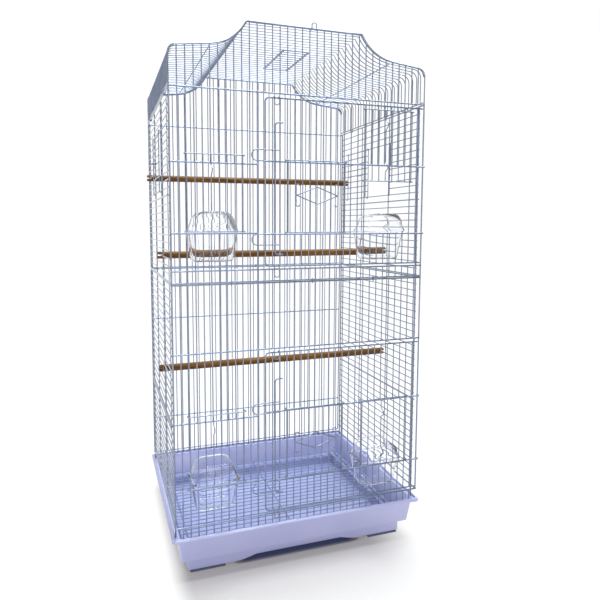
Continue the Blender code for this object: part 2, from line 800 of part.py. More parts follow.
def nest_door(name, side, shift, finish):
    """Sliding shutter of a nest opening, its end bars lipped over two side wires."""
    wires = side_wires(UPPER_Z, UPPER_H, UPPER_SIDE_GAPS)
    low, high = [wires[number] for number in NEST_ROWS]
    x = side * (HALF_W + FRONT_LAYER)
    near, far = [row_y(number) + shift for number in NEST_COLUMNS]
    axle = pivot(name + "_slide", (x, (near + far) / 2, (low + high) / 2))
    edge = BAR + SLIP
    top = high + edge
    foot = low - edge
    lip = FRONT_LAYER + BAR / 2
    strips = []
    for y in (near + BAR, far - BAR):
        strips.append(upright(y, foot, top))
        strips.append(upright(y, top, top + lip))
        strips.append(upright(y, foot - lip, foot))
    middle = (near + far) / 2
    count = NEST_ROWS[1] - NEST_ROWS[0]
    centre_row = count // 2
    for number in range(count + 1):
        v = wires[NEST_ROWS[0] + number]
        stops = [near + BAR, far - BAR]
        if number == centre_row:
            stops = [near + BAR, middle - KINK_H / 2, middle, middle + KINK_H / 2, far - BAR]
        for a, b in zip(stops, stops[1:]):
            strips.append(level(v, a, b, BAR))
    centre_z = wires[NEST_ROWS[0] + centre_row]

    def place(u, v):
        if v > top:
            return Vector((x - side * (v - top), u, top))
        if v < foot:
            return Vector((x - side * (foot - v), u, foot))
        out = 0.0
        if abs(v - centre_z) < BAR:
            out = max(0.0, 1 - abs(u - middle) / (KINK_H / 2)) * KINK_OUT
        return Vector((x + side * out, u, v))

    return wire_sheet(name, cells_of(strips), place, finish, axle)


# Clips that tie two wires

def tie_clip(name, centre, across, reach, finish):
    """Ring of thin wire round two rails, open by its own gap at the back."""
    c = Vector(centre)
    a = Vector(across) * (BAR / 2 + TURN + PIN / 2)
    b = Vector((0, 0, 1)) * (reach + SLIP + PIN / 2)
    path = [c - a * 0.2 + b, c + a + b, c + a - b, c - a - b, c - a + b * 0.55]
    return rod(name, path, PIN, finish)


# Moulded base

def rounded_loop(half_x, half_y, radius, z, steps=3):
    loop = []
    corners = ((1, 1, 0), (-1, 1, 90), (-1, -1, 180), (1, -1, 270))
    for sx, sy, start in corners:
        for step in range(steps + 1):
            angle = math.radians(start + 90 * step / steps)
            loop.append((sx * (half_x - radius) + radius * math.cos(angle),
                         sy * (half_y - radius) + radius * math.sin(angle), z))
    return loop


def loft(bm, loops, close_ends=(True, True)):
    rings = [[bm.verts.new(p) for p in loop] for loop in loops]
    count = len(rings[0])
    for near, far in zip(rings, rings[1:]):
        for k in range(count):
            bm.faces.new((near[k], near[(k + 1) % count], far[(k + 1) % count], far[k]))
    if close_ends[0]:
        bm.faces.new(rings[0][::-1])
    if close_ends[1]:
        bm.faces.new(rings[-1])
    return rings


def tray_object(finish):
    """Tub with a rolled rim, a ledge for the grille and a basin under it."""
    def loop(inset, z):
        return rounded_loop(RIM_W / 2 - inset, RIM_D / 2 - inset,
                            max(CORNER_R - inset * 0.3, 0.004), z)

    wall = TRAY_WALL
    bm = bmesh.new()
    loops = [
        loop(BASIN_IN, BASIN_Z),
        loop(BASIN_IN, TRAY_FOOT_Z),
        loop(TRAY_FOOT_IN, TRAY_FOOT_Z),
        loop(TRAY_TOP_IN, RIM_Z - STEP_DROP - wall - 0.001),
        loop(0.0015, RIM_Z - STEP_DROP - wall),
        loop(0.0, RIM_Z - 0.0012),
        loop(0.0015, RIM_Z),
        loop(STEP_IN - 0.0008, RIM_Z),
        loop(STEP_IN, RIM_Z - STEP_DROP),
        loop(TRAY_TOP_IN + wall, RIM_Z - STEP_DROP),
        loop(TRAY_FOOT_IN + wall, TRAY_FOOT_Z + wall),
        loop(BASIN_IN + wall, TRAY_FOOT_Z + wall),
        loop(BASIN_IN + wall, BASIN_Z + wall),
    ]
    loft(bm, loops)
    return add_object("tray", bm, finish)


def skirt_object(finish):
    """Plinth round the basin, cut up into an arch on each side between its corner feet."""
    outer_x = RIM_W / 2 - SKIRT_EDGE_IN
    outer_y = RIM_D / 2 - SKIRT_EDGE_IN
    top = TRAY_FOOT_Z - 0.0003
    bm = bmesh.new()
    wall = SKIRT_WALL

    def outline(inset):
        half_x = outer_x - inset
        half_y = outer_y - inset
        points = []
        marks_x = (ARCH_W / 2, ARCH_W / 2 - ARCH_RISE)
        marks_y = (ARCH_D / 2, ARCH_D / 2 - ARCH_RISE)
        heights = (SKIRT_FOOT_Z, ARCH_Z)
        corner = CORNER_R - inset
        for quarter, (sx, sy, start) in enumerate(((1, 1, 0), (-1, 1, 90), (-1, -1, 180),
                                                   (1, -1, 270))):
            for step in range(4):
                angle = math.radians(start + 30 * step)
                points.append((sx * (half_x - corner) + corner * math.cos(angle),
                               sy * (half_y - corner) + corner * math.sin(angle),
                               SKIRT_FOOT_Z))
            marks = marks_x if quarter % 2 == 0 else marks_y
            for way in (1, -1):
                pairs = list(zip(marks, heights))
                for mark, height in (pairs if way > 0 else pairs[::-1]):
                    if quarter == 0:
                        points.append((way * mark, half_y, height))
                    elif quarter == 1:
                        points.append((-half_x, way * mark, height))
                    elif quarter == 2:
                        points.append((-way * mark, -half_y, height))
                    else:
                        points.append((half_x, -way * mark, height))
        return points

    outside = outline(0.0)
    inside = outline(wall)
    loops = [outside, [(x, y, top) for x, y, z in outside], [(x, y, top) for x, y, z in inside],
             inside]
    rings = loft(bm, loops, (False, False))
    count = len(rings[0])
    for k in range(count):
        bm.faces.new((rings[3][k], rings[3][(k + 1) % count], rings[0][(k + 1) % count],
                      rings[0][k]))
    return add_object("base_skirt", bm, finish)


def foot_pads(finish):
    reach_x = RIM_W / 2 - SKIRT_EDGE_IN
    reach_y = RIM_D / 2 - SKIRT_EDGE_IN
    height = SKIRT_FOOT_Z - 0.0003
    number = 0
    for sx in (-1, 1):
        for sy in (-1, 1):
            number += 1
            x = sx * (reach_x - CORNER_R * 0.4 - PAD[0] / 2)
            y = sy * (reach_y - PAD[1] / 2 + 0.0015)
            bm = bmesh.new()
            bmesh.ops.create_cube(bm, size=1.0)
            bmesh.ops.scale(bm, vec=(PAD[0], PAD[1], height), verts=bm.verts)
            bmesh.ops.translate(bm, vec=(x, y, height / 2), verts=bm.verts)
            pad = add_object(f"foot_pad_{number}", bm, finish)
            soft = pad.modifiers.new("edge", "BEVEL")
            soft.width = 0.0008
            soft.segments = 1


def grille_object(finish):
    """Floor grille lying on the tray's ledge."""
    ledge_x = RIM_W / 2 - TRAY_FOOT_IN - TRAY_WALL
    ledge_y = RIM_D / 2 - TRAY_FOOT_IN - TRAY_WALL
    half_x = ledge_x - GRILLE_INSET
    half_y = ledge_y - GRILLE_INSET
    z = TRAY_FOOT_Z + TRAY_WALL + SLIP + BAR / 2
    count = int(2 * half_y / PITCH)
    strips = [upright(side * half_x, -half_y, half_y, RAIL) for side in (-1, 1)]
    strips += [level(side * half_y, -half_x, half_x, BAR) for side in (-1, 1)]
    for number in range(1, count):
        v = -half_y + 2 * half_y * number / count
        strips.append(level(v, -half_x, half_x, BAR))
    flat = lambda u, v: Vector((u, v, z))
    grille = wire_sheet("floor_grille", cells_of(strips), flat, finish)
    for x in (-half_x + 0.012, 0.0, half_x - 0.012):
        high = z + FRONT_LAYER
        path = [(x, -half_y, z), (x, -half_y, high), (x, half_y, high), (x, half_y, z)]
        weld(grille, path, BAR, finish)
    return grille


# Cups and hoods

def cup(name, centre, rail, finish, parent):
    """Drafted cup with a rolled lip; a tongue at the front rests over the hatch rail."""
    front = -HALF_D + BAR / 2 + SLIP + LIP
    y = front + CUP_D / 2
    top = rail + RAIL / 2 + 0.0006

    def loop(grow, z):
        shrink = CUP_DRAFT * (top - z) / CUP_H
        points = rounded_loop(CUP_W / 2 + grow - shrink, CUP_D / 2 + grow - shrink, 0.010, z, 2)
        return [(px + centre, py + y, pz) for px, py, pz in points]

    bm = bmesh.new()
    wall = CUP_WALL
    loft(bm, [loop(0, top - CUP_H), loop(0, top - 0.0005), loop(LIP, top),
              loop(LIP, top + 0.0020), loop(-wall, top + 0.0020),
              loop(-wall, top - CUP_H + wall)])
    made = add_object(name, bm, finish, parent)
    tongue_w = 0.030
    bm = bmesh.new()
    ys = (front - LIP + 0.0015, -HALF_D - BAR / 2 - 0.0001)
    bmesh.ops.create_cube(bm, size=1.0)
    bmesh.ops.scale(bm, vec=(tongue_w, ys[0] - ys[1], 0.0018), verts=bm.verts)
    bmesh.ops.translate(bm, vec=(centre, (ys[0] + ys[1]) / 2, top + 0.0010), verts=bm.verts)
    helper = add_object(name + "_tongue", bm, finish, parent)
    helper.hide_render = True
    helper.display_type = "WIRE"
    join = made.modifiers.new("tongue", "BOOLEAN")
    join.operation = "UNION"
    join.solver = "EXACT"
    join.object = helper
    return made


def hood(name, centre, rail, finish, parent):
    """Arched hood standing on the cup's lip, open towards the inside of the cage."""
    front = -HALF_D + BAR / 2 + SLIP
    base = rail + RAIL / 2 + 0.0006 + 0.0020 + 0.0003
    y0 = front + 0.0004
    y1 = front + LIP + CUP_D
    half = CUP_W / 2

    def arch(inset, y, lean):
        flank = half - 0.006 - HOOD_R
        outline = [(half - inset, base)]
        for sx, start in ((1, 0), (-1, 90)):
            for step in range(4):
                angle = math.radians(start + 30 * step)
                outline.append((sx * flank + (HOOD_R - inset) * math.cos(angle),
                                base + HOOD_H - HOOD_R + (HOOD_R - inset) * math.sin(angle)))
        outline.append((inset - half, base))
        return [(centre + x, y - lean * (v - base) / HOOD_H, v) for x, v in outline]

    bm = bmesh.new()
    outer = [[bm.verts.new(p) for p in arch(0, y, lean)]
             for y, lean in ((y0, 0.0), (y1, HOOD_LEAN))]
    inner = [[bm.verts.new(p) for p in arch(HOOD_WALL, y, lean)]
             for y, lean in ((y0 + HOOD_WALL, 0.0), (y1, HOOD_LEAN))]
    count = len(outer[0])
    for k in range(count - 1):
        bm.faces.new((outer[0][k], outer[0][k + 1], outer[1][k + 1], outer[1][k]))
        bm.faces.new((inner[0][k], inner[1][k], inner[1][k + 1], inner[0][k + 1]))
        bm.faces.new((outer[1][k], outer[1][k + 1], inner[1][k + 1], inner[1][k]))
    bm.faces.new(outer[0][::-1])
    bm.faces.new(inner[0])
    bm.faces.new((outer[0][0], outer[1][0], inner[1][0], inner[0][0]))
    bm.faces.new((outer[1][-1], outer[0][-1], inner[0][-1], inner[1][-1]))
    bm.faces.new((outer[0][0], inner[0][0], inner[0][-1], outer[0][-1]))
    return add_object(name, bm, finish, parent)


# Perches

def perch(name, y, z, finish):
    """Dowel across the cage, slotted at both ends over a side wire."""
    length = 2 * (HALF_W + PERCH_OUT)
    bm = bmesh.new()
    bmesh.ops.create_cone(bm, cap_ends=True, segments=12, radius1=PERCH_D / 2,
                          radius2=PERCH_D / 2, depth=length)
    for vert in bm.verts:
        vert.co = Vector((vert.co.z, vert.co.x + y, vert.co.y + z))
    made = add_object(name, bm, finish)
    for sign in (-1, 1):
        bm = bmesh.new()
        bmesh.ops.create_cube(bm, size=1.0)
        deep = PERCH_OUT + BAR + 0.0006
        bmesh.ops.scale(bm, vec=(deep * 2, PERCH_D * 1.2, PERCH_SLOT), verts=bm.verts)
        bmesh.ops.translate(bm, vec=(sign * (HALF_W + PERCH_OUT), y, z), verts=bm.verts)
        cutter = add_object(f"{name}_slot", bm, finish)
        cutter.hide_render = True
        cutter.display_type = "WIRE"
        cut = made.modifiers.new("slot", "BOOLEAN")
        cut.operation = "DIFFERENCE"
        cut.solver = "EXACT"
        cut.object = cutter
    made.data.shade_smooth()
    made.data.set_sharp_from_angle(angle=math.radians(50))
    return made


def build():
    clear_scene()
    wire = material("wire", WIRE_BLUE, 0.35, 0.1)
    frame_wire = material("frame_wire", WIRE_BLUE, 0.32, 0.1)
    plastic = material("tray_plastic", PLASTIC_BLUE, 0.45)
    wood = material("perch_wood", WOOD, 0.6)
    clear = material("cup_plastic", CLEAR, 0.15)
    rubber = material("pad_rubber", PAD_GREY, 0.7)

    skirt_object(plastic)
    foot_pads(rubber)
    tray_object(plastic)
    grille_object(wire)

    lower_front(wire)
    upper_front(wire)
    backs(wire)
    for side in (-1, 1):
        lower_side(side, wire)
        upper_side(side, wire)
    roof = roof_mesh(wire)
    roof_cross_wires(roof, wire)
    roof_door(wire)
    roof_hanger(frame_wire)

    lower_sash = [BODY_Z + h for h in LOWER_SASH]
    upper_sash = [UPPER_Z + h for h in UPPER_SASH]
    low_axle = main_door("lower_main_door", BODY_Z, BODY_Z + HEADER_Z, lower_sash, wire)
    high_axle = main_door("upper_main_door", UPPER_Z + SILL_H, TOP_Z, upper_sash, wire)
    lock_rod("lower_lock_rod", [BODY_Z + h for h in LOWER_ROD], low_axle, frame_wire)
    lock_rod("upper_lock_rod", [UPPER_Z + h for h in UPPER_ROD], high_axle, frame_wire)
    door_clip("lower_door_top_clip", BODY_Z + HEADER_Z - DOOR_TOP_GAP, CLIP_DROP["top"],
              low_axle, frame_wire)
    door_clip("lower_door_foot_clip", BODY_Z + DOOR_FOOT_GAP, CLIP_DROP["lower"],
              low_axle, frame_wire)
    door_clip("upper_door_top_clip", TOP_Z - DOOR_TOP_GAP, CLIP_DROP["top"],
              high_axle, frame_wire)
    door_clip("upper_door_foot_clip", UPPER_Z + SILL_H + DOOR_FOOT_GAP, CLIP_DROP["upper"],
              high_axle, frame_wire)

    for name, storey, rails, axle in (("lower", BODY_Z, lower_sash, low_axle),
                                      ("upper", UPPER_Z, upper_sash, high_axle)):
        foot = rails[0] + RAIL / 2 + SLIP + BAR / 2
        height = rails[1] - rails[0]
        slide_door(f"{name}_centre_door", CENTRE_BARS, foot, height, wire, axle)
        ornament(f"{name}_ornament", foot, axle, wire)

    hatches = (
        ("lower_left", LEFT_HATCH_BARS, BODY_Z + LOWER_HATCH[0], None, 0.0),
        ("upper_left", LEFT_HATCH_BARS, UPPER_Z + UPPER_HATCH[0], None, 0.0),
        ("lower_right", RIGHT_HATCH_BARS, lower_sash[0], low_axle, 0.0),
        ("upper_right", RIGHT_HATCH_BARS, upper_sash[0], high_axle, HATCH_LIFT),
    )
    for name, bars, rail, axle, lift in hatches:
        slide_door(f"{name}_feeder_door", bars, rail + SEAT, HATCH_DOOR_H, wire, axle, lift,
                   KINKS)
        centre = (bar_x(bars[0]) + bar_x(bars[1])) / 2
        cup(f"{name}_cup", centre, rail, clear, axle)
        hood(f"{name}_hood", centre, rail, clear, axle)

    nest_door("left_nest_door", -1, 0.0, wire)
    nest_door("right_nest_door", 1, NEST_SLIDE, wire)

    upper_wires = side_wires(UPPER_Z, UPPER_H, UPPER_SIDE_GAPS)
    lower_wires = side_wires(BODY_Z, LOWER_H, LOWER_SIDE_GAPS)
    (back_y, back_row), (mid_y, mid_row) = UPPER_PERCHES
    perch("upper_back_perch", back_y, upper_wires[back_row], wood)
    perch("upper_middle_perch", mid_y, upper_wires[mid_row], wood)
    perch("lower_perch", LOWER_PERCHES[0][0], lower_wires[LOWER_PERCHES[0][1]], wood)

    seam = (BODY_Z + LOWER_H + UPPER_Z) / 2
    reach = (UPPER_Z - BODY_Z - LOWER_H) / 2 + RAIL / 2
    for number, column in enumerate((7, 18, 27)):
        x = bar_x(column) + PITCH / 2
        tie_clip(f"front_seam_clip_{number + 1}", (x, -HALF_D, seam), (0, -1, 0), reach,
                 frame_wire)
        tie_clip(f"back_seam_clip_{number + 1}", (x, HALF_D, seam), (0, 1, 0), reach,
                 frame_wire)
    roof_seam = TOP_Z + (ROOF_LAP + RAIL / 2) / 2
    roof_reach = (ROOF_LAP + RAIL / 2) / 2 + RAIL / 2
    for side, word in ((-1, "left"), (1, "right")):
        for end, place in ((-1, "front"), (1, "back")):
            y = end * (row_y(22) + PITCH / 2)
            tie_clip(f"{place}_{word}_roof_clip", (side * HALF_W, y, roof_seam), (side, 0, 0),
                     roof_reach, frame_wire)

    for made in bpy.data.objects:
        if made.parent is None:
            made.location.y += CENTRE_Y
    bpy.context.view_layer.update()


build()
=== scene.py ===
"""Pagoda top bird cage: round enamelled wire, moulded tray and cups, wooden perches."""

import math
from collections import namedtuple

import bmesh
import bpy
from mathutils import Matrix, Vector


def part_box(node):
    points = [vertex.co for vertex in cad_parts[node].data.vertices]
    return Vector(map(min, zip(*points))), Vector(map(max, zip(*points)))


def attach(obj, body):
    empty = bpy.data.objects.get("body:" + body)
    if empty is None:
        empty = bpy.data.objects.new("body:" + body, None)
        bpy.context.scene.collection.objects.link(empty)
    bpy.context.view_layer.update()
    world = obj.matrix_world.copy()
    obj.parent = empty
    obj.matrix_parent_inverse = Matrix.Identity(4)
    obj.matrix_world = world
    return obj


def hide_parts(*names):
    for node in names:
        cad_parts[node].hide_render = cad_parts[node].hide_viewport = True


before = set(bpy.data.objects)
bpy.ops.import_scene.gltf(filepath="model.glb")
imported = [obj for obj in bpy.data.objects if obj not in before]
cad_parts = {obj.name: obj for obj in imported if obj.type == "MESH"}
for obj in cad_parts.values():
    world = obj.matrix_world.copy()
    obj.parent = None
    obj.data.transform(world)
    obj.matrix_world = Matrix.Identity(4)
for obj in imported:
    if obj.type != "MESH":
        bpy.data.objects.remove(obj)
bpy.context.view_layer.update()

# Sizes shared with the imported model, in metres: the wire body
PITCH = 0.0127             # from bar to bar
GAPS_WIDE = 35
GAPS_DEEP = 27
HALF_W = GAPS_WIDE * PITCH / 2
HALF_D = GAPS_DEEP * PITCH / 2
BODY_Z = 0.092             # lowest rail
UPPER_Z = 0.491            # lowest rail of the upper storey
TOP_Z = UPPER_Z + 0.301    # rail under the roof
HEADER_Z = BODY_Z + 0.2857  # rail over the lower main door
SILL_Z = UPPER_Z + 0.019   # rail under the upper main door
TAIL = 0.0205              # bar ends that reach down into the tray
BACK_DROP = 0.0125         # how far the lowest back rail hangs under the front one
BACK_RAILS = (BODY_Z + 0.066, BODY_Z + 0.287)
SIDE_POST = HALF_D - PITCH  # from the middle to the posts of a side
SIDE_REACH = HALF_D - 0.0016

# Bar numbers across the front, from the left corner
LEFT_BARS = (2, 9)         # feeder doors beside the main doors
DOOR_BAR = 11
PULL_BAR = 14
CENTRE_BARS = (15, 23)
RIGHT_BARS = (26, 33)      # feeder doors in the main doors
STILE_BAR = 34
HANGER_BAR = 18

# One storey: rails of the main door, rails its small doors slide over, rails of the left hatch
Storey = namedtuple("Storey", "name base height gaps foot top sash hatch rod band clip_drop")
LOWER = Storey("lower", BODY_Z, 0.396, 31, foot=BODY_Z + 0.005, top=HEADER_Z - 0.007,
               sash=(BODY_Z + 0.0577, BODY_Z + 0.1775), hatch=(BODY_Z + 0.0617, BODY_Z + 0.1730),
               rod=(BODY_Z + 0.0365, BODY_Z + 0.2340), band=0.171, clip_drop=0.0138)
UPPER = Storey("upper", UPPER_Z, 0.301, 24, foot=SILL_Z + 0.005, top=TOP_Z - 0.007,
               sash=(UPPER_Z + 0.0765, UPPER_Z + 0.1935), hatch=(UPPER_Z + 0.0780, UPPER_Z + 0.1880),
               rod=(UPPER_Z + 0.0430, UPPER_Z + 0.2550), band=0.136, clip_drop=0.0185)
TOP_CLIP_DROP = 0.0115

# Small doors
HATCH_LIFT = 0.087         # the upper right feeder door stands raised
FEEDER_H = 0.120
DOOR_REST = 0.0027         # a small door's lowest wire over its rail
FEEDER_REST = 0.0028
NEST_ROWS = (12, 20)       # level wires below and above the nest opening
NEST_COLUMNS = (9, 17)
NEST_SLIDE = 0.094         # the right nest door stands open
STAY_COLUMNS = (9, 18)     # uprights inside a side panel

# Roof, heights over the top rail
CREST_Z = 0.107
CREST_W = 0.199
EAVE_Z = 0.047
EAVE_R = 0.0145
SKIRT_IN = 0.065
SKIRT_Z = 0.0675
ROOF_LAP = 0.0034          # how high the roof's foot stands over the top rail
CROSS_X = 0.157            # wires along the roof, from its middle
HATCH_ROWS = (9, 19)
ROOF_HATCH_W = 0.0508

# Tray and plinth
RIM_W = 0.457
RIM_D = 0.356
RIM_Z = 0.075
WALL = 0.0025
LEDGE_Z = 0.0265           # underside of the ledge that carries the grille
LEDGE_IN = 0.0165

# Ties
SEAM_COLUMNS = (7, 18, 27)
SEAM_REACH = 0.0029        # half the height of a tie between the storeys
ROOF_TIE_ROWS = 9          # from the middle, over the top rail
ROOF_TIE_Z = 0.00235
ROOF_TIE_REACH = 0.0036

# The middle of the wire body lies a little behind the frame's origin
tray_low, tray_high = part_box("tray")
MID_Y = (tray_low.y + tray_high.y) / 2
FRONT = MID_Y - HALF_D
BACK = MID_Y + HALF_D

# Radii of the wires
R_BAR = 0.0010
R_MESH = 0.0008
R_RAIL = 0.0014
R_FRAME = 0.0013
R_PIN = 0.0008
R_STAPLE = 0.0009
R_DOOR = 0.0009
R_ROD = 0.0012
R_POST = 0.0015
R_CUP_EDGE = 0.0015

# Layers of wire behind (+) and in front (-) of the front plane
Y_BAR = 0.0006
Y_RAIL = -0.0010
Y_DOOR = -0.0033

WELD = 0.0006              # how far a bar's end runs into the rail it is welded to
CLIP_GRIP = 0.0024         # inner reach of a clip's eye round its rail
CLIP_HALF = 0.0040         # half the width of a clip

# How a wire is meshed, lengths in wire radii
WIRE_SIDES = 8
TIP_SHARE = 0.55           # radius of the tip
TAPER = 0.45               # length of the taper at the tip
GUARD = 1.2                # ring past the taper, which keeps the normals of long wires square
LONG = 4.0                 # shortest stretch that takes a guard
SAME_PLACE = 1e-6


def bar_x(number):
    return (number - GAPS_WIDE / 2) * PITCH


def row_y(number):
    return MID_Y + (number - GAPS_DEEP / 2) * PITCH


def level_z(storey, number):
    """Height of a side panel's level wire, counted from the storey's lowest rail."""
    return storey.base + storey.height * number / storey.gaps


def arc(start, sweep, steps):
    """Angles in radians, evenly stepped; start and sweep are in degrees."""
    return [math.radians(start + sweep * step / steps) for step in range(steps + 1)]


def curve(start, bend, end, steps):
    """Quadratic curve from start to end, drawn towards bend."""
    shares = [step / steps for step in range(steps + 1)]
    return [start * (1 - t) ** 2 + bend * (2 * t * (1 - t)) + end * t ** 2 for t in shares]


def mirrored(points, x):
    """The same points in reverse order on the other side of x."""
    return [(2 * x - px, py, pz) for px, py, pz in reversed(points)]


# Materials

def new_material(name):
    made = bpy.data.materials.new(name)
    made.use_nodes = True
    tree = made.node_tree
    return made, tree, tree.nodes["Principled BSDF"]


def noise(tree, scale, detail, stretch=(1.0, 1.0, 1.0)):
    where = tree.nodes.new("ShaderNodeTexCoord")
    mapping = tree.nodes.new("ShaderNodeMapping")
    mapping.inputs["Scale"].default_value = stretch
    made = tree.nodes.new("ShaderNodeTexNoise")
    made.inputs["Scale"].default_value = scale
    made.inputs["Detail"].default_value = detail
    tree.links.new(where.outputs["Object"], mapping.inputs["Vector"])
    tree.links.new(mapping.outputs["Vector"], made.inputs["Vector"])
    return made


def ramp(tree, source, stops):
    made = tree.nodes.new("ShaderNodeValToRGB")
    while len(made.color_ramp.elements) < len(stops):
        made.color_ramp.elements.new(0.5)
    for element, (place, colour) in zip(made.color_ramp.elements, stops):
        element.position = place
        element.color = (*colour, 1.0)
    tree.links.new(source, made.inputs["Fac"])
    return made


def bump(tree, pattern, shader, strength, distance):
    made = tree.nodes.new("ShaderNodeBump")
    made.inputs["Strength"].default_value = strength
    made.inputs["Distance"].default_value = distance
    tree.links.new(pattern.outputs["Fac"], made.inputs["Height"])
    tree.links.new(made.outputs["Normal"], shader.inputs["Normal"])


def tinted(name, pattern, stops, sockets):
    """A material coloured by a noise pattern, with constants for its shader's sockets."""
    made, tree, shader = new_material(name)
    speckle = noise(tree, *pattern)
    tint = ramp(tree, speckle.outputs["Fac"], stops)
    tree.links.new(tint.outputs["Color"], shader.inputs["Base Color"])
    for socket, value in sockets.items():
        shader.inputs[socket].default_value = value
    return made, tree, shader, speckle


def enamel(name, dark, light, roughness, metal=0.9):
    """Glossy paint on wire, a little uneven along its length."""
    made, tree, shader, _ = tinted(name, (60.0, 2.0), [(0.35, dark), (0.7, light)], {
        "Roughness": roughness, "Metallic": metal,
        "Coat Weight": metal, "Coat IOR": 1.7, "Coat Roughness": 0.16})
    bump(tree, noise(tree, 900.0, 2.0), shader, 0.08, 0.0002)
    return made


def moulded(name, dark, light, roughness):
    """Injection moulded plastic with a fine satin grain."""
    made, tree, shader, _ = tinted(name, (9.0, 2.0), [(0.3, dark), (0.75, light)], {
        "Roughness": roughness, "Coat Weight": 1.0, "Coat Roughness": 0.12,
        "Subsurface Weight": 0.06, "Subsurface Radius": (0.004, 0.004, 0.006)})
    bump(tree, noise(tree, 1400.0, 2.0), shader, 0.10, 0.0002)
    return made


def clear_plastic(name):
    """Clear injection moulding: thin, faintly cool, glossy."""
    return tinted(name, (60.0, 2.0), [(0.3, (0.97, 0.98, 1.0)), (0.8, (1.0, 1.0, 1.0))], {
        "Transmission Weight": 1.0, "Roughness": 0.0, "IOR": 1.12,
        "Coat Weight": 0.35, "Coat IOR": 1.5, "Coat Roughness": 0.04})[0]


def edge_highlight_finish(name):
    """Pale, nearly opaque finish for the thick edge of a clear moulding: a painted highlight along the edge.
    """
    return tinted(name, (120.0, 2.0), [(0.3, (0.78, 0.81, 0.88)), (0.8, (0.90, 0.92, 0.97))], {
        "Alpha": 0.85, "Roughness": 0.12, "Coat Weight": 1.0, "Coat Roughness": 0.05})[0]


def wood(name):
    """Plain turned dowel, its grain drawn out along x."""
    made, tree, shader, grain = tinted(
        name, (260.0, 5.0, (0.05, 1.0, 1.0)),
        [(0.25, (0.052, 0.019, 0.002)), (0.5, (0.135, 0.056, 0.006)), (0.8, (0.24, 0.110, 0.014))],
        {"Roughness": 0.6, "Specular IOR Level": 0.25})
    bump(tree, grain, shader, 0.25, 0.0004)
    return made


def rubber(name):
    made, tree, shader, speckle = tinted(
        name, (500.0, 3.0), [(0.3, (0.06, 0.075, 0.14)), (0.7, (0.09, 0.11, 0.19))], {"Roughness": 0.7})
    bump(tree, speckle, shader, 0.3, 0.0003)
    return made


WIRE = enamel("wire", (0.15, 0.195, 0.29), (0.21, 0.26, 0.37), 0.32)
THIN = enamel("thin_wire", (0.15, 0.19, 0.28), (0.21, 0.26, 0.36), 0.30)
MESH = enamel("grille_wire", (0.17, 0.21, 0.36), (0.22, 0.27, 0.43), 0.50, 0.3)
TRAY = moulded("tray_plastic", (0.34, 0.36, 0.60), (0.39, 0.41, 0.65), 0.34)
CLEAR = clear_plastic("cup_plastic")
# Pale finish of the hood's rear bead: a painted highlight on the clear plastic.
EDGE_HIGHLIGHT = edge_highlight_finish("cup_edge_highlight")
WOOD = wood("perch_wood")
RUBBER = rubber("pad_rubber")


# Pieces

def finish_piece(bm, name, finish, slot, body, *nodes):
    """Turn a mesh under construction into a piece that rides on its body and takes its nodes' place."""
    bmesh.ops.recalc_face_normals(bm, faces=bm.faces[:])
    mesh = bpy.data.meshes.new(name)
    bm.to_mesh(mesh)
    bm.free()
    mesh.materials.append(finish)
    made = bpy.data.objects.new(name, mesh)
    bpy.context.scene.collection.objects.link(made)
    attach(made, body)
    if nodes:
        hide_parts(*nodes)
    return made


def crease(piece, degrees):
    """Keep edges that turn by more than this sharp in smooth shading."""
    piece.data.set_sharp_from_angle(angle=math.radians(degrees))


def loft(bm, loops, closed=True):
    """Skin from loop to loop, with a lid on the first and last one where it is closed."""
    rings = [[bm.verts.new(p) for p in loop] for loop in loops]
    count = len(rings[0])
    for near, far in zip(rings, rings[1:]):
        for k in range(count):
            after = (k + 1) % count
            bm.faces.new((near[k], near[after], far[after], far[k])).smooth = True
    if closed:
        bm.faces.new(rings[0][::-1])
        bm.faces.new(rings[-1])
    return rings


def rounded_loop(centre_x, centre_y, half_x, half_y, radius, z, steps):
    """Level rectangle with rounded corners."""
    loop = []
    for sx, sy, start in ((1, 1, 0), (-1, 1, 90), (-1, -1, 180), (1, -1, 270)):
        for angle in arc(start, 90, steps):
            loop.append((centre_x + sx * (half_x - radius) + radius * math.cos(angle),
                         centre_y + sy * (half_y - radius) + radius * math.sin(angle), z))
    return loop


# Wire building

def smooth_path(points, radius, steps=4):
    """Round the inner corners of a path with an arc of about this radius."""
    points = [Vector(p) for p in points]
    made = [points[0]]
    for before, here, after in zip(points, points[1:], points[2:]):
        back = before - here
        ahead = after - here
        reach = min(radius, back.length * 0.45, ahead.length * 0.45)
        made += curve(here + back.normalized() * reach, here, here + ahead.normalized() * reach, steps)
    made.append(points[-1])
    return made


def wire_ring(centre, way, across, radius):
    """Corners of a wire's section, square to the way it runs."""
    up = way.cross(across).normalized()
    angles = [2 * math.pi * k / WIRE_SIDES for k in range(WIRE_SIDES)]
    return [centre + across * (math.cos(a) * radius) + up * (math.sin(a) * radius) for a in angles]


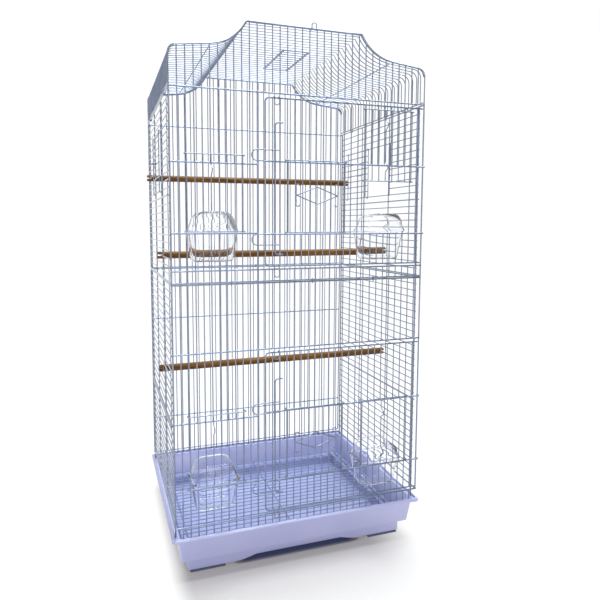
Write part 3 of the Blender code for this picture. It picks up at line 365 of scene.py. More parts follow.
def tube(bm, points, radius):
    """Round wire along a path, with both tips tapered."""
    points = [Vector(p) for p in points]
    path = [points[0]]
    for point in points[1:]:
        if (point - path[-1]).length > SAME_PLACE:
            path.append(point)
    ways = [(b - a).normalized() for a, b in zip(path, path[1:])]
    helper = Vector((0, 0, 1)) if abs(ways[0].z) < 0.9 else Vector((1, 0, 0))
    side = ways[0].cross(helper).normalized()
    last = len(path) - 1
    rings = []
    for index, point in enumerate(path):
        before = ways[max(index - 1, 0)]
        after = ways[min(index, last - 1)]
        if 0 < index < last:
            side = before.rotation_difference(after) @ side
        way = (before + after).normalized()
        across = (side - way * side.dot(way)).normalized()
        if 0 < index < last:
            rings.append(wire_ring(point, way, across, radius))
            continue
        inward = way if index == 0 else -way
        stretch = path[1] - point if index == 0 else path[-2] - point
        tip = [(0.0, TIP_SHARE), (TAPER, 1.0)]
        if stretch.length > LONG * radius:
            tip.append((GUARD, 1.0))
        for depth, share in tip if index == 0 else reversed(tip):
            rings.append(wire_ring(point + inward * radius * depth, way, across, radius * share))
    loft(bm, rings)


def wire_piece(name, wires, body, *nodes, finish=WIRE, slot="wire"):
    bm = bmesh.new()
    for points, radius in wires:
        tube(bm, points, radius)
    return finish_piece(bm, name, finish, slot, body, *nodes)


def thin_piece(name, path, radius, body=None):
    """A piece bent from one length of thin wire; it moves on its own body unless one is given."""
    wire_piece(name + "_wire", [(path, radius)], body or name, name, finish=THIN, slot="frame_wire")


def upright(x, y, low, high, radius=R_BAR):
    return ([(x, y, low), (x, y, high)], radius)


def parted(x, y, low, high, gap, radius=R_BAR):
    """An upright bar that leaves out the heights between the two of the gap."""
    return [upright(x, y, low, gap[0], radius), upright(x, y, gap[1], high, radius)]


def level(z, y, left, right, radius=R_RAIL):
    return ([(left, y, z), (right, y, z)], radius)


def full_rail(z, y, radius=R_FRAME):
    """A level rail over the whole width of the cage."""
    return level(z, y, -HALF_W - R_BAR, HALF_W + R_BAR, radius)


def along_y(x, z, near, far, radius=R_BAR):
    return ([(x, near, z), (x, far, z)], radius)


def finger_kink(depth, steps=12, length=0.017):
    """Bulge of a finger grip: places along its bar, from the middle, and how far each stands out."""
    shares = [step / steps for step in range(steps + 1)]
    return [(length * (t - 0.5), depth * math.sin(math.pi * t) ** 1.3) for t in shares]


# Roof outline

def roof_profile():
    """Half of the outline, from the foot of the side to the crest, finely stepped."""
    outline = [(HALF_W, 0.0)]
    for angle in arc(0, 90, 8):
        outline.append((HALF_W - EAVE_R * (1 - math.cos(angle)), EAVE_Z + EAVE_R * math.sin(angle)))
    start = Vector((HALF_W - SKIRT_IN, SKIRT_Z))
    crest = Vector((CREST_W / 2, CREST_Z))
    bend = Vector((crest.x + (CREST_Z - SKIRT_Z) * 0.46, SKIRT_Z + (start.x - crest.x) * 0.10))
    return outline + [(point.x, point.y) for point in curve(start, bend, crest, 12)]


PROFILE = roof_profile()


def roof_height(x):
    """Height of the roof's outline at x, over the top rail."""
    x = abs(x)
    outline = [p for p in PROFILE if p[1] >= EAVE_Z]
    if x <= outline[-1][0]:
        return outline[-1][1]
    for far, near in zip(outline, outline[1:]):
        if near[0] <= x <= far[0]:
            share = (x - near[0]) / max(far[0] - near[0], 1e-9)
            return near[1] + (far[1] - near[1]) * share
    return outline[0][1]


def whole_profile():
    return [(-x, z) for x, z in PROFILE] + [(x, z) for x, z in reversed(PROFILE)]


def gable_edge(y):
    points = [(x, y, TOP_Z + z) for x, z in whole_profile() if z >= EAVE_Z * 0.999]
    return (points, R_FRAME)


# Front and back

def hatch_side(foot, hatch, top):
    """Bars of a front panel beside the main door, parted at the feeder hatch, with its two rails."""
    first, last = LEFT_BARS
    end = 0.0008
    wires = []
    for number in range(DOOR_BAR + 1):
        corner = number == 0
        x = bar_x(number)
        y = FRONT if corner else FRONT + Y_BAR
        low = max(foot, BODY_Z) if corner else foot
        radius = R_FRAME if number in (0, DOOR_BAR) else R_BAR
        if first < number < last:
            wires += parted(x, y, low, top, hatch, radius)
        else:
            wires.append(upright(x, y, low, top, radius))
    for z in hatch:
        wires.append(level(z, FRONT + Y_RAIL, bar_x(0) - end, bar_x(DOOR_BAR) + end))
    return wires


def lower_front():
    y = FRONT + Y_BAR
    foot = BODY_Z - TAIL
    top = LOWER.base + LOWER.height
    wires = hatch_side(foot, LOWER.hatch, top)
    wires.append(upright(bar_x(GAPS_WIDE), FRONT, BODY_Z, top, R_FRAME))
    for number in range(DOOR_BAR + 1, GAPS_WIDE):
        wires += parted(bar_x(number), y, foot, top, (BODY_Z + WELD, HEADER_Z - WELD))
    for z in (BODY_Z, HEADER_Z, top):
        wires.append(full_rail(z, FRONT + Y_RAIL))
    wire_piece("lower_front_wires", wires, "cage", "lower_front_panel")


def upper_front():
    y = FRONT + Y_BAR
    wires = hatch_side(UPPER_Z, UPPER.hatch, TOP_Z)
    wires.append(upright(bar_x(GAPS_WIDE), FRONT, UPPER_Z, TOP_Z, R_FRAME))
    for number in range(DOOR_BAR + 1, GAPS_WIDE):
        wires.append(upright(bar_x(number), y, UPPER_Z - WELD, SILL_Z + WELD))
    for number in range(GAPS_WIDE + 1):
        x = bar_x(number)
        place = FRONT if number in (0, GAPS_WIDE) else y
        wires.append(upright(x, place, TOP_Z - WELD, TOP_Z + roof_height(x)))
    for z in (UPPER_Z, SILL_Z, TOP_Z):
        wires.append(full_rail(z, FRONT + Y_RAIL))
    wires.append(gable_edge(FRONT))
    wire_piece("upper_front_wires", wires, "cage", "upper_front_panel")


def lower_back():
    top = LOWER.base + LOWER.height
    wires = []
    for number in range(GAPS_WIDE + 1):
        if number in (0, GAPS_WIDE):
            wires.append(upright(bar_x(number), BACK, BODY_Z - BACK_DROP, top, R_FRAME))
        else:
            wires.append(upright(bar_x(number), BACK - Y_BAR, BODY_Z - TAIL, top))
    for z in (BODY_Z - BACK_DROP, top):
        wires.append(full_rail(z, BACK - Y_RAIL))
    for z in BACK_RAILS:
        wires.append(full_rail(z, BACK - Y_RAIL, R_RAIL))
    wire_piece("lower_back_wires", wires, "cage", "lower_back_panel")


def upper_back():
    wires = []
    for number in range(GAPS_WIDE + 1):
        x = bar_x(number)
        y = BACK if number in (0, GAPS_WIDE) else BACK - Y_BAR
        wires.append(upright(x, y, UPPER_Z, TOP_Z + roof_height(x)))
    for z in (UPPER_Z, TOP_Z):
        wires.append(full_rail(z, BACK - Y_RAIL))
    wires.append(gable_edge(BACK))
    wire_piece("upper_back_wires", wires, "cage", "upper_back_panel")


# Sides

def side_panel(storey, side):
    """Level wires between two posts, stayed inside and banded outside; the upper panels open for a nest."""
    base = storey.base
    top = base + storey.height
    x = side * HALF_W
    layer = 0.0019             # from the level wires to the stays inside them and the band outside
    post_in = layer - 0.0004   # to the thicker posts, which touch the level wires as well
    lap = 0.0012               # how far the level wires pass the posts
    nest_lap = 0.0005          # and the uprights beside the nest opening
    near = MID_Y - SIDE_POST
    far = MID_Y + SIDE_POST
    wires = [along_y(x, z, MID_Y - SIDE_REACH, MID_Y + SIDE_REACH, R_FRAME) for z in (base, top)]
    tail = TAIL if storey is LOWER else 0.0
    for y in (near, far):
        wires.append(upright(x - side * post_in, y, base - tail, top, R_POST))
    nest = storey is UPPER
    left, right = [row_y(number) for number in NEST_COLUMNS]
    for number in range(1, storey.gaps):
        z = level_z(storey, number)
        if nest and NEST_ROWS[0] < number < NEST_ROWS[1]:
            wires.append(along_y(x, z, near - lap, left + nest_lap))
            wires.append(along_y(x, z, right - nest_lap, far + lap))
        else:
            wires.append(along_y(x, z, near - lap, far + lap))
    if nest:
        low, high = [level_z(storey, number) for number in NEST_ROWS]
        for y in (left, right):
            wires.append(upright(x - side * 0.0002, y, low, high))
    for number in STAY_COLUMNS:
        wires.append(upright(x - side * layer, row_y(number), base, top))
    step = storey.height / storey.gaps
    band = base + round(storey.band / step) * step
    wires.append(along_y(x + side * layer, band, near, far, R_RAIL))
    word = "right" if side > 0 else "left"
    wire_piece(f"{storey.name}_{word}_wires", wires, "cage", f"{storey.name}_{word}_panel")


# Roof

def roof_point(x, z, y):
    return (x, y, TOP_Z + ROOF_LAP + z * (1 - ROOF_LAP / CREST_Z))


def roof():
    """Wires over the outline from side to side, left out at the hatch, and the wires that tie them."""
    edge_in = 0.0032           # from the front and back planes to the roof's edge wires
    foot_z = TOP_Z + ROOF_LAP + R_FRAME
    cross_z = roof_point(0, roof_height(CROSS_X), 0)[2] - R_BAR - R_MESH
    cross_lap = 0.001
    outline = whole_profile()
    left = [(x, z) for x, z in outline if x < 0] + [(0.0, CREST_Z)]
    right = [(ROOF_HATCH_W, CREST_Z)] + [(x, z) for x, z in outline if x > ROOF_HATCH_W]
    wires = []
    for number in range(1, GAPS_DEEP):
        y = row_y(number)
        parts = (left, right) if HATCH_ROWS[0] < number < HATCH_ROWS[1] else (outline,)
        for part in parts:
            wires.append(([roof_point(x, z, y) for x, z in part], R_MESH))
    for side in (-1, 1):
        y = MID_Y + side * (HALF_D - edge_in)
        wires.append(([roof_point(x, z, y) for x, z in outline if z], R_FRAME))
    for side in (-1, 1):
        wires.append(along_y(side * HALF_W, foot_z, MID_Y - SIDE_REACH, MID_Y + SIDE_REACH, R_FRAME))
        wires.append(along_y(side * CROSS_X, cross_z, row_y(1) - cross_lap, row_y(GAPS_DEEP - 1) + cross_lap))
    front, back = [row_y(number) for number in HATCH_ROWS]
    for x in (0.0, ROOF_HATCH_W):
        wires.append(along_y(x, TOP_Z + CREST_Z, front, back))
    wire_piece("roof_wires", wires, "cage", "roof_mesh")


def roof_door():
    """A framed hatch with bars across it, two eyes as hinges and two rests that lie on the roof."""
    z = TOP_Z + CREST_Z
    clear = 0.0024             # gap round the hatch, wire centre to wire centre
    eye = 0.0022
    rest_z = z + 0.0021
    rest_end = ROOF_HATCH_W + 0.0019
    front = row_y(HATCH_ROWS[0]) + clear
    back = row_y(HATCH_ROWS[1]) - clear
    left = 0.0027
    right = ROOF_HATCH_W - clear
    join = (left, (front + back) / 2, z)
    edge = [join, (left, front, z), (right, front, z), (right, back, z), (left, back, z), join]
    wires = [(smooth_path(edge, 0.0025), R_BAR)]
    for number in range(HATCH_ROWS[0] + 1, HATCH_ROWS[1]):
        wires.append(level(z, row_y(number), left, right, R_BAR))
    for number in (HATCH_ROWS[0] + 2, HATCH_ROWS[1] - 3):
        y = row_y(number) + PITCH / 2
        hook = [(eye * math.cos(angle), y, z + eye * math.sin(angle)) for angle in arc(35, 145, 8)]
        wires.append(([(left, y, z)] + hook, R_PIN))
        rest = [(right, y, z), (right + 0.0002, y, rest_z), (rest_end, y, rest_z)]
        wires.append((smooth_path(rest, 0.001), R_PIN))
    wire_piece("roof_door_wires", wires, "roof_door", "roof_door")


def roof_hanger():
    """A bail with an eye at each end, round the crest's front wire."""
    z = TOP_Z + CREST_Z
    x = bar_x(HANGER_BAR) + PITCH / 2
    shoulder = z + 0.0045
    leg = [(x - CLIP_HALF, FRONT + CLIP_GRIP * math.cos(angle), z + CLIP_GRIP * math.sin(angle))
           for angle in arc(20, -200, 8)]
    arch = [(x + CLIP_HALF * math.cos(angle), FRONT - CLIP_GRIP, shoulder + CLIP_HALF * math.sin(angle))
            for angle in arc(180, -180, 8)]
    thin_piece("roof_hanger", leg + arch + mirrored(leg, x), R_PIN)


# Main doors

def latch_staple(z, way):
    """Hairpin that stands out from the pull bar; way is -1 below its rail and 1 above."""
    bar = bar_x(PULL_BAR)
    out = FRONT - 0.0052
    lean = 0.0018
    half = 0.00875             # half of the hairpin's height, and the radius of its bend
    tip = bar - 0.0495
    low, high = sorted((z, z + way * 2 * half))
    bow = [(tip + half + half * math.cos(angle), out, (low + high) / 2 + half * math.sin(angle))
           for angle in arc(90, 180, 8)]
    start = [(bar, FRONT, high), (bar - lean, out, high)]
    finish = [(bar - lean, out, low), (bar, FRONT, low)]
    return (smooth_path(start + bow + finish, 0.0016, 3), R_STAPLE)


def main_door(storey):
    """Frame, bars parted at the two small doors, and sash rails looped round the corner bar."""
    foot, top, sash = storey.foot, storey.top, storey.sash
    left = bar_x(DOOR_BAR + 1)
    post = bar_x(GAPS_WIDE)
    tip = post - 0.0021        # end of the frame, clear of the corner bar
    y = FRONT + Y_BAR + 0.0003
    start = left - 0.0008      # the sash rails, from the frame to where their eyes begin
    neck = post - 0.0065
    eye = 0.0027
    corners = [(tip, FRONT, top), (left, FRONT, top), (left, FRONT, foot), (tip, FRONT, foot)]
    wires = [(smooth_path(corners, 0.008, 8), R_FRAME)]
    wires.append(upright(bar_x(STILE_BAR), FRONT, foot, top, R_FRAME))
    opened = []
    for first, last in (CENTRE_BARS, RIGHT_BARS):
        opened += range(first + 1, last)
    for number in range(DOOR_BAR + 2, STILE_BAR):
        x = bar_x(number)
        radius = R_FRAME if number == PULL_BAR else R_BAR
        if number in opened:
            wires += parted(x, y, foot, top, sash, radius)
        else:
            wires.append(upright(x, y, foot, top, radius))
    for z in sash:
        path = [(start, FRONT + Y_RAIL, z), (neck, FRONT + Y_RAIL, z)]
        path += [(post + eye * math.cos(angle), FRONT + eye * math.sin(angle), z)
                 for angle in arc(-102, 200, 12)]
        wires.append((path, R_RAIL))
    wires.append(latch_staple(sash[0], -1))
    wires.append(latch_staple(sash[1], 1))
    name = f"{storey.name}_main_door"
    wire_piece(name + "_wires", wires, name, name)


def lock_rod(storey):
    """Bracket-shaped rod that slides up and down behind the staples."""
    bar = bar_x(PULL_BAR)
    inner = bar + 0.0044
    outer = bar - 0.0094
    y = FRONT - 0.0030
    low, high = storey.rod
    corners = [(inner, y, low), (outer, y, low), (outer, y, high), (inner, y, high)]
    thin_piece(f"{storey.name}_lock_rod", smooth_path(corners, 0.0075, 7), R_ROD)


def door_clip(storey, end):
    """Narrow U that hangs by two eyes from the door's top or foot rail."""
    rail, drop = (storey.foot, storey.clip_drop) if end == "foot" else (storey.top, TOP_CLIP_DROP)
    middle = (bar_x(PULL_BAR) + bar_x(PULL_BAR - 1)) / 2
    y = FRONT - 0.0031
    leg = [(middle - CLIP_HALF, FRONT + CLIP_GRIP * math.cos(angle), rail + CLIP_GRIP * math.sin(angle))
           for angle in arc(20, 160, 6)]
    leg.append((middle - CLIP_HALF, y, rail - 0.004))
    centre = rail - drop + CLIP_HALF
    bow = [(middle + CLIP_HALF * math.cos(angle), y, centre + CLIP_HALF * math.sin(angle))
           for angle in arc(180, 180, 8)]
    thin_piece(f"{storey.name}_door_{end}_clip", leg + bow + mirrored(leg, middle), R_PIN)


# Lifting doors

def ear(x, z, side, y):
    """End of a door wire, turned back round its guide bar."""
    edge = x + side * 0.0035
    inside = FRONT + 0.0027
    return [(edge - side * 0.0015, y, z), (edge, y + 0.0012, z), (edge, y + 0.0046, z),
            (edge - side * 0.0008, inside, z), (edge - side * 0.0030, inside, z)]


def slide_door(name, bars, foot, height, lift=0.0, kinks=()):
    """Bars between two level wires with ears; a feeder door's fourth bar is kinked as a grip."""
    first, last = bars
    low = foot + lift
    high = low + height
    y = FRONT + Y_DOOR
    y_end = y - 0.0011
    wires = []
    for z in (low, high):
        path = ear(bar_x(first), z, -1, y_end)[::-1] + ear(bar_x(last), z, 1, y_end)
        wires.append((smooth_path(path, 0.0008, 2), R_DOOR))
    for number in range(first, last + 1):
        x = bar_x(number)
        path = [(x, y, low)]
        if number == first + 3:
            for kink in kinks:
                path += [(x, y - out, low + kink + along) for along, out in finger_kink(0.0091)]
        path.append((x, y, high))
        wires.append((path, R_DOOR))
    wire_piece(name + "_wires", wires, name, name)


def ornament(storey):
    """Diamond of two crossed wires with scrolled ends, fixed to the front of a centre door."""
    y = FRONT - 0.0050
    middle = (bar_x(CENTRE_BARS[0]) + bar_x(CENTRE_BARS[1])) / 2
    z = storey.sash[0] + DOOR_REST + 0.0605
    half = [(0.0, 0.0140), (0.0368, 0.0), (0.0378, -0.0030), (0.0372, -0.0095)]
    half += [(0.0345 + 0.0033 * math.cos(angle), -0.0145 + 0.0035 * math.sin(angle))
             for angle in arc(0, -165, 8)]
    wires = []
    for way in (1, -1):
        layer = y + way * 0.0003
        path = [(middle - x, layer, z + way * v) for x, v in reversed(half)]
        path += [(middle + x, layer, z + way * v) for x, v in half[1:]]
        wires.append((smooth_path(path, 0.0015, 2), R_DOOR))
    name = f"{storey.name}_ornament"
    wire_piece(name + "_wires", wires, f"{storey.name}_centre_door", name)


# Nest doors

def nest_door(word, side, shift):
    """Shutter of level wires on two hooked uprights; its middle wire is kinked as a grip."""
    heights = [level_z(UPPER, number) for number in range(NEST_ROWS[0], NEST_ROWS[1] + 1)]
    low, high = heights[0] - 0.0024, heights[-1] + 0.0024
    x = side * (HALF_W + 0.0026)
    hook = side * (HALF_W - 0.0004)
    rib = x + side * 0.0008
    near, far = [row_y(number) + shift for number in NEST_COLUMNS]
    middle = (near + far) / 2
    wires = []
    for y in (near + 0.002, far - 0.002):
        path = [(hook, y, low), (rib, y, low), (rib, y, high), (hook, y, high)]
        wires.append((smooth_path(path, 0.0012, 3), R_DOOR))
    for z in heights:
        path = [(x, near + 0.0012, z)]
        if z == heights[len(heights) // 2]:
            path += [(x + side * out, middle + along, z) for along, out in finger_kink(0.0093)]
        path.append((x, far - 0.0012, z))
        wires.append((path, R_DOOR))
    name = f"{word}_nest_door"
    wire_piece(name + "_wires", wires, name, name)


# Ties

def tie(name, centre, across, reach):
    """Open ring of thin wire squeezed round two rails, one above the other."""
    wide = Vector(across).normalized() * 0.0025
    tall = Vector((0, 0, 1)) * (reach + 0.0011)
    path = [Vector(centre) + wide * math.cos(angle) + tall * math.sin(angle)
            for angle in arc(60, -315, 16)]
    thin_piece(name, path, R_PIN, "cage")


# Moulded base

def tray():
    """Tub with a rolled rim, a step for the wire body, a ledge for the grille and a basin."""
    corner = 0.0065
    step_z = RIM_Z - 0.0038
    under = step_z - WALL
    floor = LEDGE_Z + WALL
    outside = [
        (0.0340, 0.0056), (0.0330, 0.0066), (0.0330, LEDGE_Z - 0.0005), (0.0325, LEDGE_Z),
        (0.0166, LEDGE_Z), (0.0159, LEDGE_Z + 0.0003), (0.0156, LEDGE_Z + 0.0015),
        (0.0105, under - 0.0030), (0.0098, under - 0.0012), (0.0088, under - 0.0004),
        (0.0018, under), (0.0005, under + 0.0002), (0.0000, under + 0.0008)]
    rim = [
        (0.0000, RIM_Z - 0.0026), (0.0003, RIM_Z - 0.0020), (0.0012, RIM_Z - 0.0015),
        (0.0024, RIM_Z - 0.0009), (0.0035, RIM_Z - 0.0003), (0.0042, RIM_Z),
        (0.0046, RIM_Z - 0.0002), (0.0050, RIM_Z - 0.0008)]
    inside = [
        (0.0052, step_z + 0.0004), (0.0056, step_z), (0.0100, step_z), (0.0107, step_z - 0.0006),
        (0.0182, floor + 0.0020), (0.0188, floor + 0.0002), (0.0200, floor),
        (0.0350, floor), (0.0355, floor - 0.0005), (0.0355, 0.0115), (0.0362, 0.0105)]
    loops = []
    for inset, z in outside + rim + inside:
        radius = max(corner - inset * 0.3, 0.004)
        loops.append(rounded_loop(0.0, MID_Y, RIM_W / 2 - inset, RIM_D / 2 - inset, radius, z, 8))
    bm = bmesh.new()
    loft(bm, loops)
    crease(finish_piece(bm, "tray_shell", TRAY, "tray_plastic", "cage", "tray"), 40)


def skirt():
    """Plinth under the tray: one wall all round, arched between the corner feet."""
    inset = 0.027
    half_x = RIM_W / 2 - inset
    half_y = RIM_D / 2 - inset
    top = 0.0262
    foot = 0.0040
    crown = 0.0135
    rise = 0.055
    steps = 24
    # For the long and the short sides: the arch's width, and how far from the middle points are set
    spans = ((0.230, 0.155), (0.160, 0.080))

    def arch_height(distance, span):
        t = min(max((span / 2 - distance) / rise, 0.0), 1.0)
        return foot + (crown - foot) * (t * t * (3 - 2 * t))

    def outline(depth):
        corner = 0.006 - depth * 0.8
        hx = half_x - depth
        hy = half_y - depth
        points = []
        for quarter, (sx, sy) in enumerate(((1, 1), (-1, 1), (-1, -1), (1, -1))):
            for angle in arc(90 * quarter, 90, 8):
                points.append((sx * (hx - corner) + corner * math.cos(angle),
                               sy * (hy - corner) + corner * math.sin(angle), foot))
            span, reach = spans[quarter % 2]
            for step in range(2 * steps + 1):
                d = reach * (1 - step / steps)
                z = arch_height(abs(d), span)
                points.append(((d, hy, z), (-hx, d, z), (-d, -hy, z), (hx, -d, z))[quarter])
        return [(x, y + MID_Y, z) for x, y, z in points]

    outside = outline(0.0)
    inside = outline(WALL)
    brims = [[(x, y, top) for x, y, z in loop] for loop in (outside, inside)]
    bm = bmesh.new()
    rings = loft(bm, [outside, *brims, inside], closed=False)
    count = len(outside)
    for k in range(count):
        after = (k + 1) % count
        bm.faces.new((rings[3][k], rings[3][after], rings[0][after], rings[0][k]))
    crease(finish_piece(bm, "base_plinth", TRAY, "tray_plastic", "cage", "base_skirt"), 40)


def grille():
    """Floor grille on the tray's ledge: close wires across, carried by five from front to back."""
    clear = 0.006
    half_x = RIM_W / 2 - LEDGE_IN - WALL - clear
    half_y = RIM_D / 2 - LEDGE_IN - WALL - clear
    z = LEDGE_Z + WALL + 0.0004 + R_BAR
    inward = 0.012
    count = int(2 * half_y / PITCH)
    wires = []
    for number in range(count + 1):
        y = MID_Y - half_y + 2 * half_y * number / count
        wires.append(level(z + 0.0016, y, -half_x, half_x, R_BAR))
    for x in (-half_x, -half_x + inward, 0.0, half_x - inward, half_x):
        wires.append(along_y(x, z, MID_Y - half_y, MID_Y + half_y, R_RAIL))
    wire_piece("floor_grille_wires", wires, "cage", "floor_grille", finish=MESH)


# Cups and hoods

def cup(name, centre, rail):
    """Clear cup, narrower at the foot, with a small lip."""
    half_x = 0.040
    half_y = 0.027
    corner = 0.011
    height = 0.048
    draft = 0.007
    lip = 0.0014
    wall = 0.0018
    y = FRONT + 0.0014 + 0.0035 + half_y
    top = rail + 0.0019
    foot = top - height
    outside = [(-0.0035, foot), (-0.0010, foot + 0.0008), (0.0, foot + 0.0030), (0.0, top - 0.0030),
               (0.0003, top - 0.0010), (lip - 0.0006, top), (lip, top + 0.0006), (lip, top + 0.0014)]
    inside = [(lip - 0.0006, top + 0.0020), (-wall + 0.0005, top + 0.0020), (-wall, top + 0.0010),
              (-wall, foot + 0.0045), (-wall - 0.0010, foot + 0.0025), (-wall - 0.0035, foot + wall)]
    loops = []
    for grow, z in outside + inside:
        grow -= draft * (top - z) / height
        loops.append(rounded_loop(centre, y, half_x + grow, half_y + grow, corner, z, 6))
    bm = bmesh.new()
    loft(bm, loops)
    crease(finish_piece(bm, name + "_shell", CLEAR, "cup_plastic", name, name), 50)


def hood(name, body, centre, rail):
    """Clear hood on the cup: an arched tunnel with a closed front and a leaning, beaded rear edge; the bead
    is pale, a painted highlight.
    """
    base = rail + 0.0013 + 0.0006 + 0.0020 + 0.0003
    front = FRONT + 0.0010 + 0.0004 + 0.0004
    rear = FRONT + 0.0010 + 0.0004 + 0.0035 + 0.0455
    half = 0.0385
    wall = 0.0015
    rise = 0.0303
    radius = 0.018
    lean = 0.0070
    chamfer = 0.0012
    chamfer_y = 0.0014

    def arch(inset, y, lean=0.0):
        flank = half - 0.006 - radius
        outline = [(half - inset, base)]
        for sx, start in ((1, 0), (-1, 90)):
            for angle in arc(start, 90, 8):
                outline.append((sx * flank + (radius - inset) * math.cos(angle),
                                base + rise - radius + (radius - inset) * math.sin(angle)))
        outline.append((inset - half, base))
        return [(centre + x, y - lean * (v - base) / rise, v) for x, v in outline]

    bm = bmesh.new()
    skins = []
    for depth in (0.0, wall):
        rows = (arch(depth + chamfer, front + depth), arch(depth, front + depth + chamfer_y),
                arch(depth, rear, lean))
        skins.append([[bm.verts.new(p) for p in row] for row in rows])
    outer, inner = skins
    for k in range(len(outer[0]) - 1):
        for near, far in zip(outer, outer[1:]):
            bm.faces.new((near[k], near[k + 1], far[k + 1], far[k])).smooth = True
        for near, far in zip(inner, inner[1:]):
            bm.faces.new((near[k], far[k], far[k + 1], near[k + 1])).smooth = True
        bm.faces.new((outer[2][k], outer[2][k + 1], inner[2][k + 1], inner[2][k]))
    bm.faces.new(outer[0][::-1])
    bm.faces.new(inner[0])
    for index in range(2):
        bm.faces.new((outer[index][0], outer[index + 1][0], inner[index + 1][0], inner[index][0]))
        bm.faces.new((outer[index + 1][-1], outer[index][-1], inner[index][-1], inner[index + 1][-1]))
    bm.faces.new((outer[0][0], inner[0][0], inner[0][-1], outer[0][-1]))
    crease(finish_piece(bm, name + "_shell", CLEAR, "cup_plastic", body, name), 50)
    # The rear bead is pale and nearly opaque: a painted highlight along the hood's rear edge.
    bead = arch(0.0010, rear, lean)
    wire_piece(name + "_edge", [(bead, R_CUP_EDGE)], body, finish=EDGE_HIGHLIGHT, slot="cup_plastic")


# Perches

def perch(name, y, z):
    """Dowel with eased ends, slotted there to sit over the side wires."""
    radius = 0.00635
    end = HALF_W + 0.007
    ease = 0.0008
    sides = 28
    slot_size = (2 * 0.0096, 0.016, 0.0034)
    bm = bmesh.new()
    angles = [2 * math.pi * k / sides for k in range(sides)]
    loft(bm, [[(x, y + radius * share * math.cos(a), z + radius * share * math.sin(a)) for a in angles]
              for x, share in ((-end, 0.82), (-end + ease, 1.0), (end - ease, 1.0), (end, 0.82))])
    piece = finish_piece(bm, name + "_dowel", WOOD, "perch_wood", "cage", name)
    cutters = []
    for side in (-1, 1):
        cut = bmesh.new()
        bmesh.ops.create_cube(cut, size=1.0)
        bmesh.ops.scale(cut, vec=slot_size, verts=cut.verts)
        bmesh.ops.translate(cut, vec=(side * end, y, z), verts=cut.verts)
        mesh = bpy.data.meshes.new("slot_cut")
        cut.to_mesh(mesh)
        cut.free()
        cutter = bpy.data.objects.new("slot_cut", mesh)
        bpy.context.scene.collection.objects.link(cutter)
        change = piece.modifiers.new("slot", "BOOLEAN")
        change.operation = "DIFFERENCE"
        change.solver = "EXACT"
        change.object = cutter
        cutters.append(cutter)
    bpy.context.view_layer.update()
    graph = bpy.context.evaluated_depsgraph_get()
    slotted = bpy.data.meshes.new_from_object(piece.evaluated_get(graph))
    piece.modifiers.clear()
    piece.data = slotted
    for cutter in cutters:
        bpy.data.objects.remove(cutter, do_unlink=True)
    crease(piece, 50)


# The cage

lower_front()
upper_front()
lower_back()
upper_back()
for side in (-1, 1):
    for storey in (LOWER, UPPER):
        side_panel(storey, side)
roof()
roof_door()
roof_hanger()
for storey in (LOWER, UPPER):
    main_door(storey)
    lock_rod(storey)
    for end in ("foot", "top"):
        door_clip(storey, end)
    slide_door(f"{storey.name}_centre_door", CENTRE_BARS, storey.sash[0] + DOOR_REST,
               storey.sash[1] - storey.sash[0])
    ornament(storey)
KINKS = (0.024, 0.0955)    # middles of the two grips, over the door's lowest wire
for name, bars, rail, lift in (("lower_left", LEFT_BARS, LOWER.hatch[0], 0.0),
                               ("upper_left", LEFT_BARS, UPPER.hatch[0], 0.0),
                               ("lower_right", RIGHT_BARS, LOWER.sash[0], 0.0),
                               ("upper_right", RIGHT_BARS, UPPER.sash[0], HATCH_LIFT)):
    slide_door(f"{name}_feeder_door", bars, rail + FEEDER_REST, FEEDER_H, lift, KINKS)
    centre = (bar_x(bars[0]) + bar_x(bars[1])) / 2
    cup(f"{name}_cup", centre, rail)
    hood(f"{name}_hood", f"{name}_cup", centre, rail)
nest_door("left", -1, 0.0)
nest_door("right", 1, NEST_SLIDE)
for name, place, storey, row in (("upper_back_perch", 0.145, UPPER, 15),
                                 ("upper_middle_perch", -0.034, UPPER, 3),
                                 ("lower_perch", -0.031, LOWER, 18)):
    perch(name, MID_Y + place, level_z(storey, row))
seam = (LOWER.base + LOWER.height + UPPER_Z) / 2
for number, column in enumerate(SEAM_COLUMNS, 1):
    x = bar_x(column) + PITCH / 2
    tie(f"front_seam_clip_{number}", (x, FRONT + Y_RAIL, seam), (0, -1, 0), SEAM_REACH)
    tie(f"back_seam_clip_{number}", (x, BACK - Y_RAIL, seam), (0, 1, 0), SEAM_REACH)
for side, word in ((-1, "left"), (1, "right")):
    for end, place in ((-1, "front"), (1, "back")):
        middle = (side * HALF_W, MID_Y + end * PITCH * ROOF_TIE_ROWS, TOP_Z + ROOF_TIE_Z)
        tie(f"{place}_{word}_roof_clip", middle, (side, 0, 0), ROOF_TIE_REACH)
tray()
skirt()
grille()
for number in range(1, 5):
    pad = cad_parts[f"foot_pad_{number}"]
    pad.data.materials.clear()
    pad.data.materials.append(RUBBER)


# Floor, light and camera

def maths(tree, operation, first, second, clamp=False):
    """A node that combines an output with another one or with a number."""
    made = tree.nodes.new("ShaderNodeMath")
    made.operation = operation
    made.use_clamp = clamp
    tree.links.new(first, made.inputs[0])
    if isinstance(second, float):
        made.inputs[1].default_value = second
    else:
        tree.links.new(second, made.inputs[1])
    return made.outputs["Value"]


def patch(tree, parts, sides):
    """One inside a soft-edged rectangle of the floor, zero outside it."""
    inside = None
    for axis, clear, dim in sides:
        fade = tree.nodes.new("ShaderNodeMapRange")
        fade.interpolation_type = "SMOOTHSTEP"
        fade.inputs["From Min"].default_value = clear
        fade.inputs["From Max"].default_value = dim
        tree.links.new(parts.outputs[axis], fade.inputs["Value"])
        result = fade.outputs["Result"]
        inside = maths(tree, "MULTIPLY", inside, result) if inside else result
    return inside


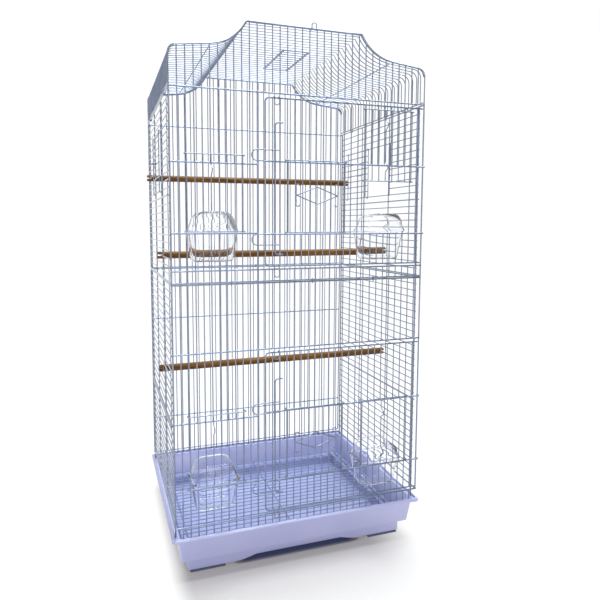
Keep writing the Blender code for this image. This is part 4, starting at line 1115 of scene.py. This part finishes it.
def sweep_white():
    """White that glows evenly, but for a grey, dimmer patch round the cage, which takes the lamps' light and
    shadows and whose soft fade paints part of the shadow, and a painted shadow under the cage: dark blue,
    with no glow.
    """
    made, tree, shader = new_material("studio_white")
    where = tree.nodes.new("ShaderNodeTexCoord")
    parts = tree.nodes.new("ShaderNodeSeparateXYZ")
    tree.links.new(where.outputs["Object"], parts.inputs["Vector"])
    # The patch round the cage glows less and is grey, so it looks shaded even where no lamp's shadow falls:
    # its soft fade paints part of the cage's shadow.
    shade = patch(tree, parts, (("X", -0.235, -0.195), ("X", 0.26, 0.12),
                                ("Y", -0.42, -0.19), ("Y", 0.30, 0.18)))
    # Painted shadow under the cage: here the floor is dark blue and does not glow.
    under = patch(tree, parts, (("X", -0.122, -0.095), ("X", 0.122, 0.095),
                                ("Y", -0.153, -0.143), ("Y", 0.165, 0.145)))
    glow = tree.nodes.new("ShaderNodeMapRange")
    glow.inputs["To Min"].default_value = 0.99
    glow.inputs["To Max"].default_value = 0.13
    tree.links.new(shade, glow.inputs["Value"])
    # The glow is taken away under the cage, for the painted shadow there.
    strength = maths(tree, "SUBTRACT", glow.outputs["Result"], under, clamp=True)
    tree.links.new(strength, shader.inputs["Emission Strength"])
    depth = maths(tree, "MULTIPLY", maths(tree, "ADD", shade, under), 0.5)
    # Floor tint: near black where the floor glows, grey in the patch round the cage, and dark blue under the
    # cage as painted shadow.
    floor_tint_and_painted_shade = ramp(tree, depth, [(0.0, (0.02, 0.02, 0.02)), (0.5, (0.50, 0.47, 0.445)),
                              (1.0, (0.10, 0.13, 0.27))])
    tree.links.new(floor_tint_and_painted_shade.outputs["Color"], shader.inputs["Base Color"])
    shader.inputs["Roughness"].default_value = 0.9
    shader.inputs["Emission Color"].default_value = (1.0, 1.0, 1.0, 1.0)
    return made


def studio():
    """White sweep: a floor that curves up into a wall behind the cage."""
    half_width = 4.0
    turn_y = 1.2
    turn_r = 0.8
    profile = [(-2.4, 0.0)]
    for angle in arc(0, 90, 12):
        profile.append((turn_y + turn_r * math.sin(angle), turn_r - turn_r * math.cos(angle)))
    profile.append((turn_y + turn_r, 3.2))
    bm = bmesh.new()
    rows = [[bm.verts.new((x, y, z)) for x in (-half_width, half_width)] for y, z in profile]
    for near, far in zip(rows, rows[1:]):
        bm.faces.new((near[0], near[1], far[1], far[0])).smooth = True
    mesh = bpy.data.meshes.new("studio_floor")
    bm.to_mesh(mesh)
    bm.free()
    mesh.materials.append(sweep_white())
    floor = bpy.data.objects.new("studio_floor", mesh)
    bpy.context.scene.collection.objects.link(floor)


def area_light(name, place, aim, size, power, colour):
    data = bpy.data.lights.new(name, "AREA")
    data.shape = "RECTANGLE"
    data.size, data.size_y = size
    data.energy = power
    data.color = colour
    lamp = bpy.data.objects.new(name, data)
    lamp.location = place
    way = Vector(aim) - Vector(place)
    if way.xy.length > 0.001:
        lamp.rotation_euler = way.to_track_quat("-Z", "Y").to_euler()
    bpy.context.scene.collection.objects.link(lamp)


studio()
area_light("overhead", (0.50, 0.30, 2.6), (0.50, 0.30, 0.0), (1.8, 1.5), 150.0, (0.84, 0.92, 1.0))
area_light("front_fill", (-0.5, -2.5, 0.9), (0.0, 0.0, 0.3), (2.0, 2.0), 44.0, (1.0, 0.96, 0.95))

world = bpy.data.worlds.new("studio_world")
world.use_nodes = True
background = world.node_tree.nodes["Background"]
background.inputs["Color"].default_value = (0.95, 0.97, 1.0, 1.0)
background.inputs["Strength"].default_value = 0.16
bpy.context.scene.world = world
bpy.context.scene.view_settings.view_transform = "Standard"

# The photograph's viewpoint; places in the picture are in its pixels
CAMERA_AT = (-0.3272, -1.0096 + MID_Y, 0.4905 + BODY_Z)
YAW = math.radians(17.97)
PITCH_DOWN = math.radians(5.03)
PHOTO_PX = 600
FOCAL_PX = 537.7
CENTRE_PX = (273.8, 272.2)
SENSOR_MM = 36.0
lens = bpy.data.cameras.new("photo_camera")
lens.sensor_width = SENSOR_MM
lens.lens = FOCAL_PX / PHOTO_PX * SENSOR_MM
lens.shift_x = (PHOTO_PX / 2 - CENTRE_PX[0]) / PHOTO_PX
lens.shift_y = (CENTRE_PX[1] - PHOTO_PX / 2) / PHOTO_PX
lens.clip_start = 0.05
camera = bpy.data.objects.new("photo_camera", lens)
camera.location = CAMERA_AT
camera.rotation_euler = (math.pi / 2 - PITCH_DOWN, 0.0, -YAW)
bpy.context.scene.collection.objects.link(camera)
bpy.context.scene.camera = camera
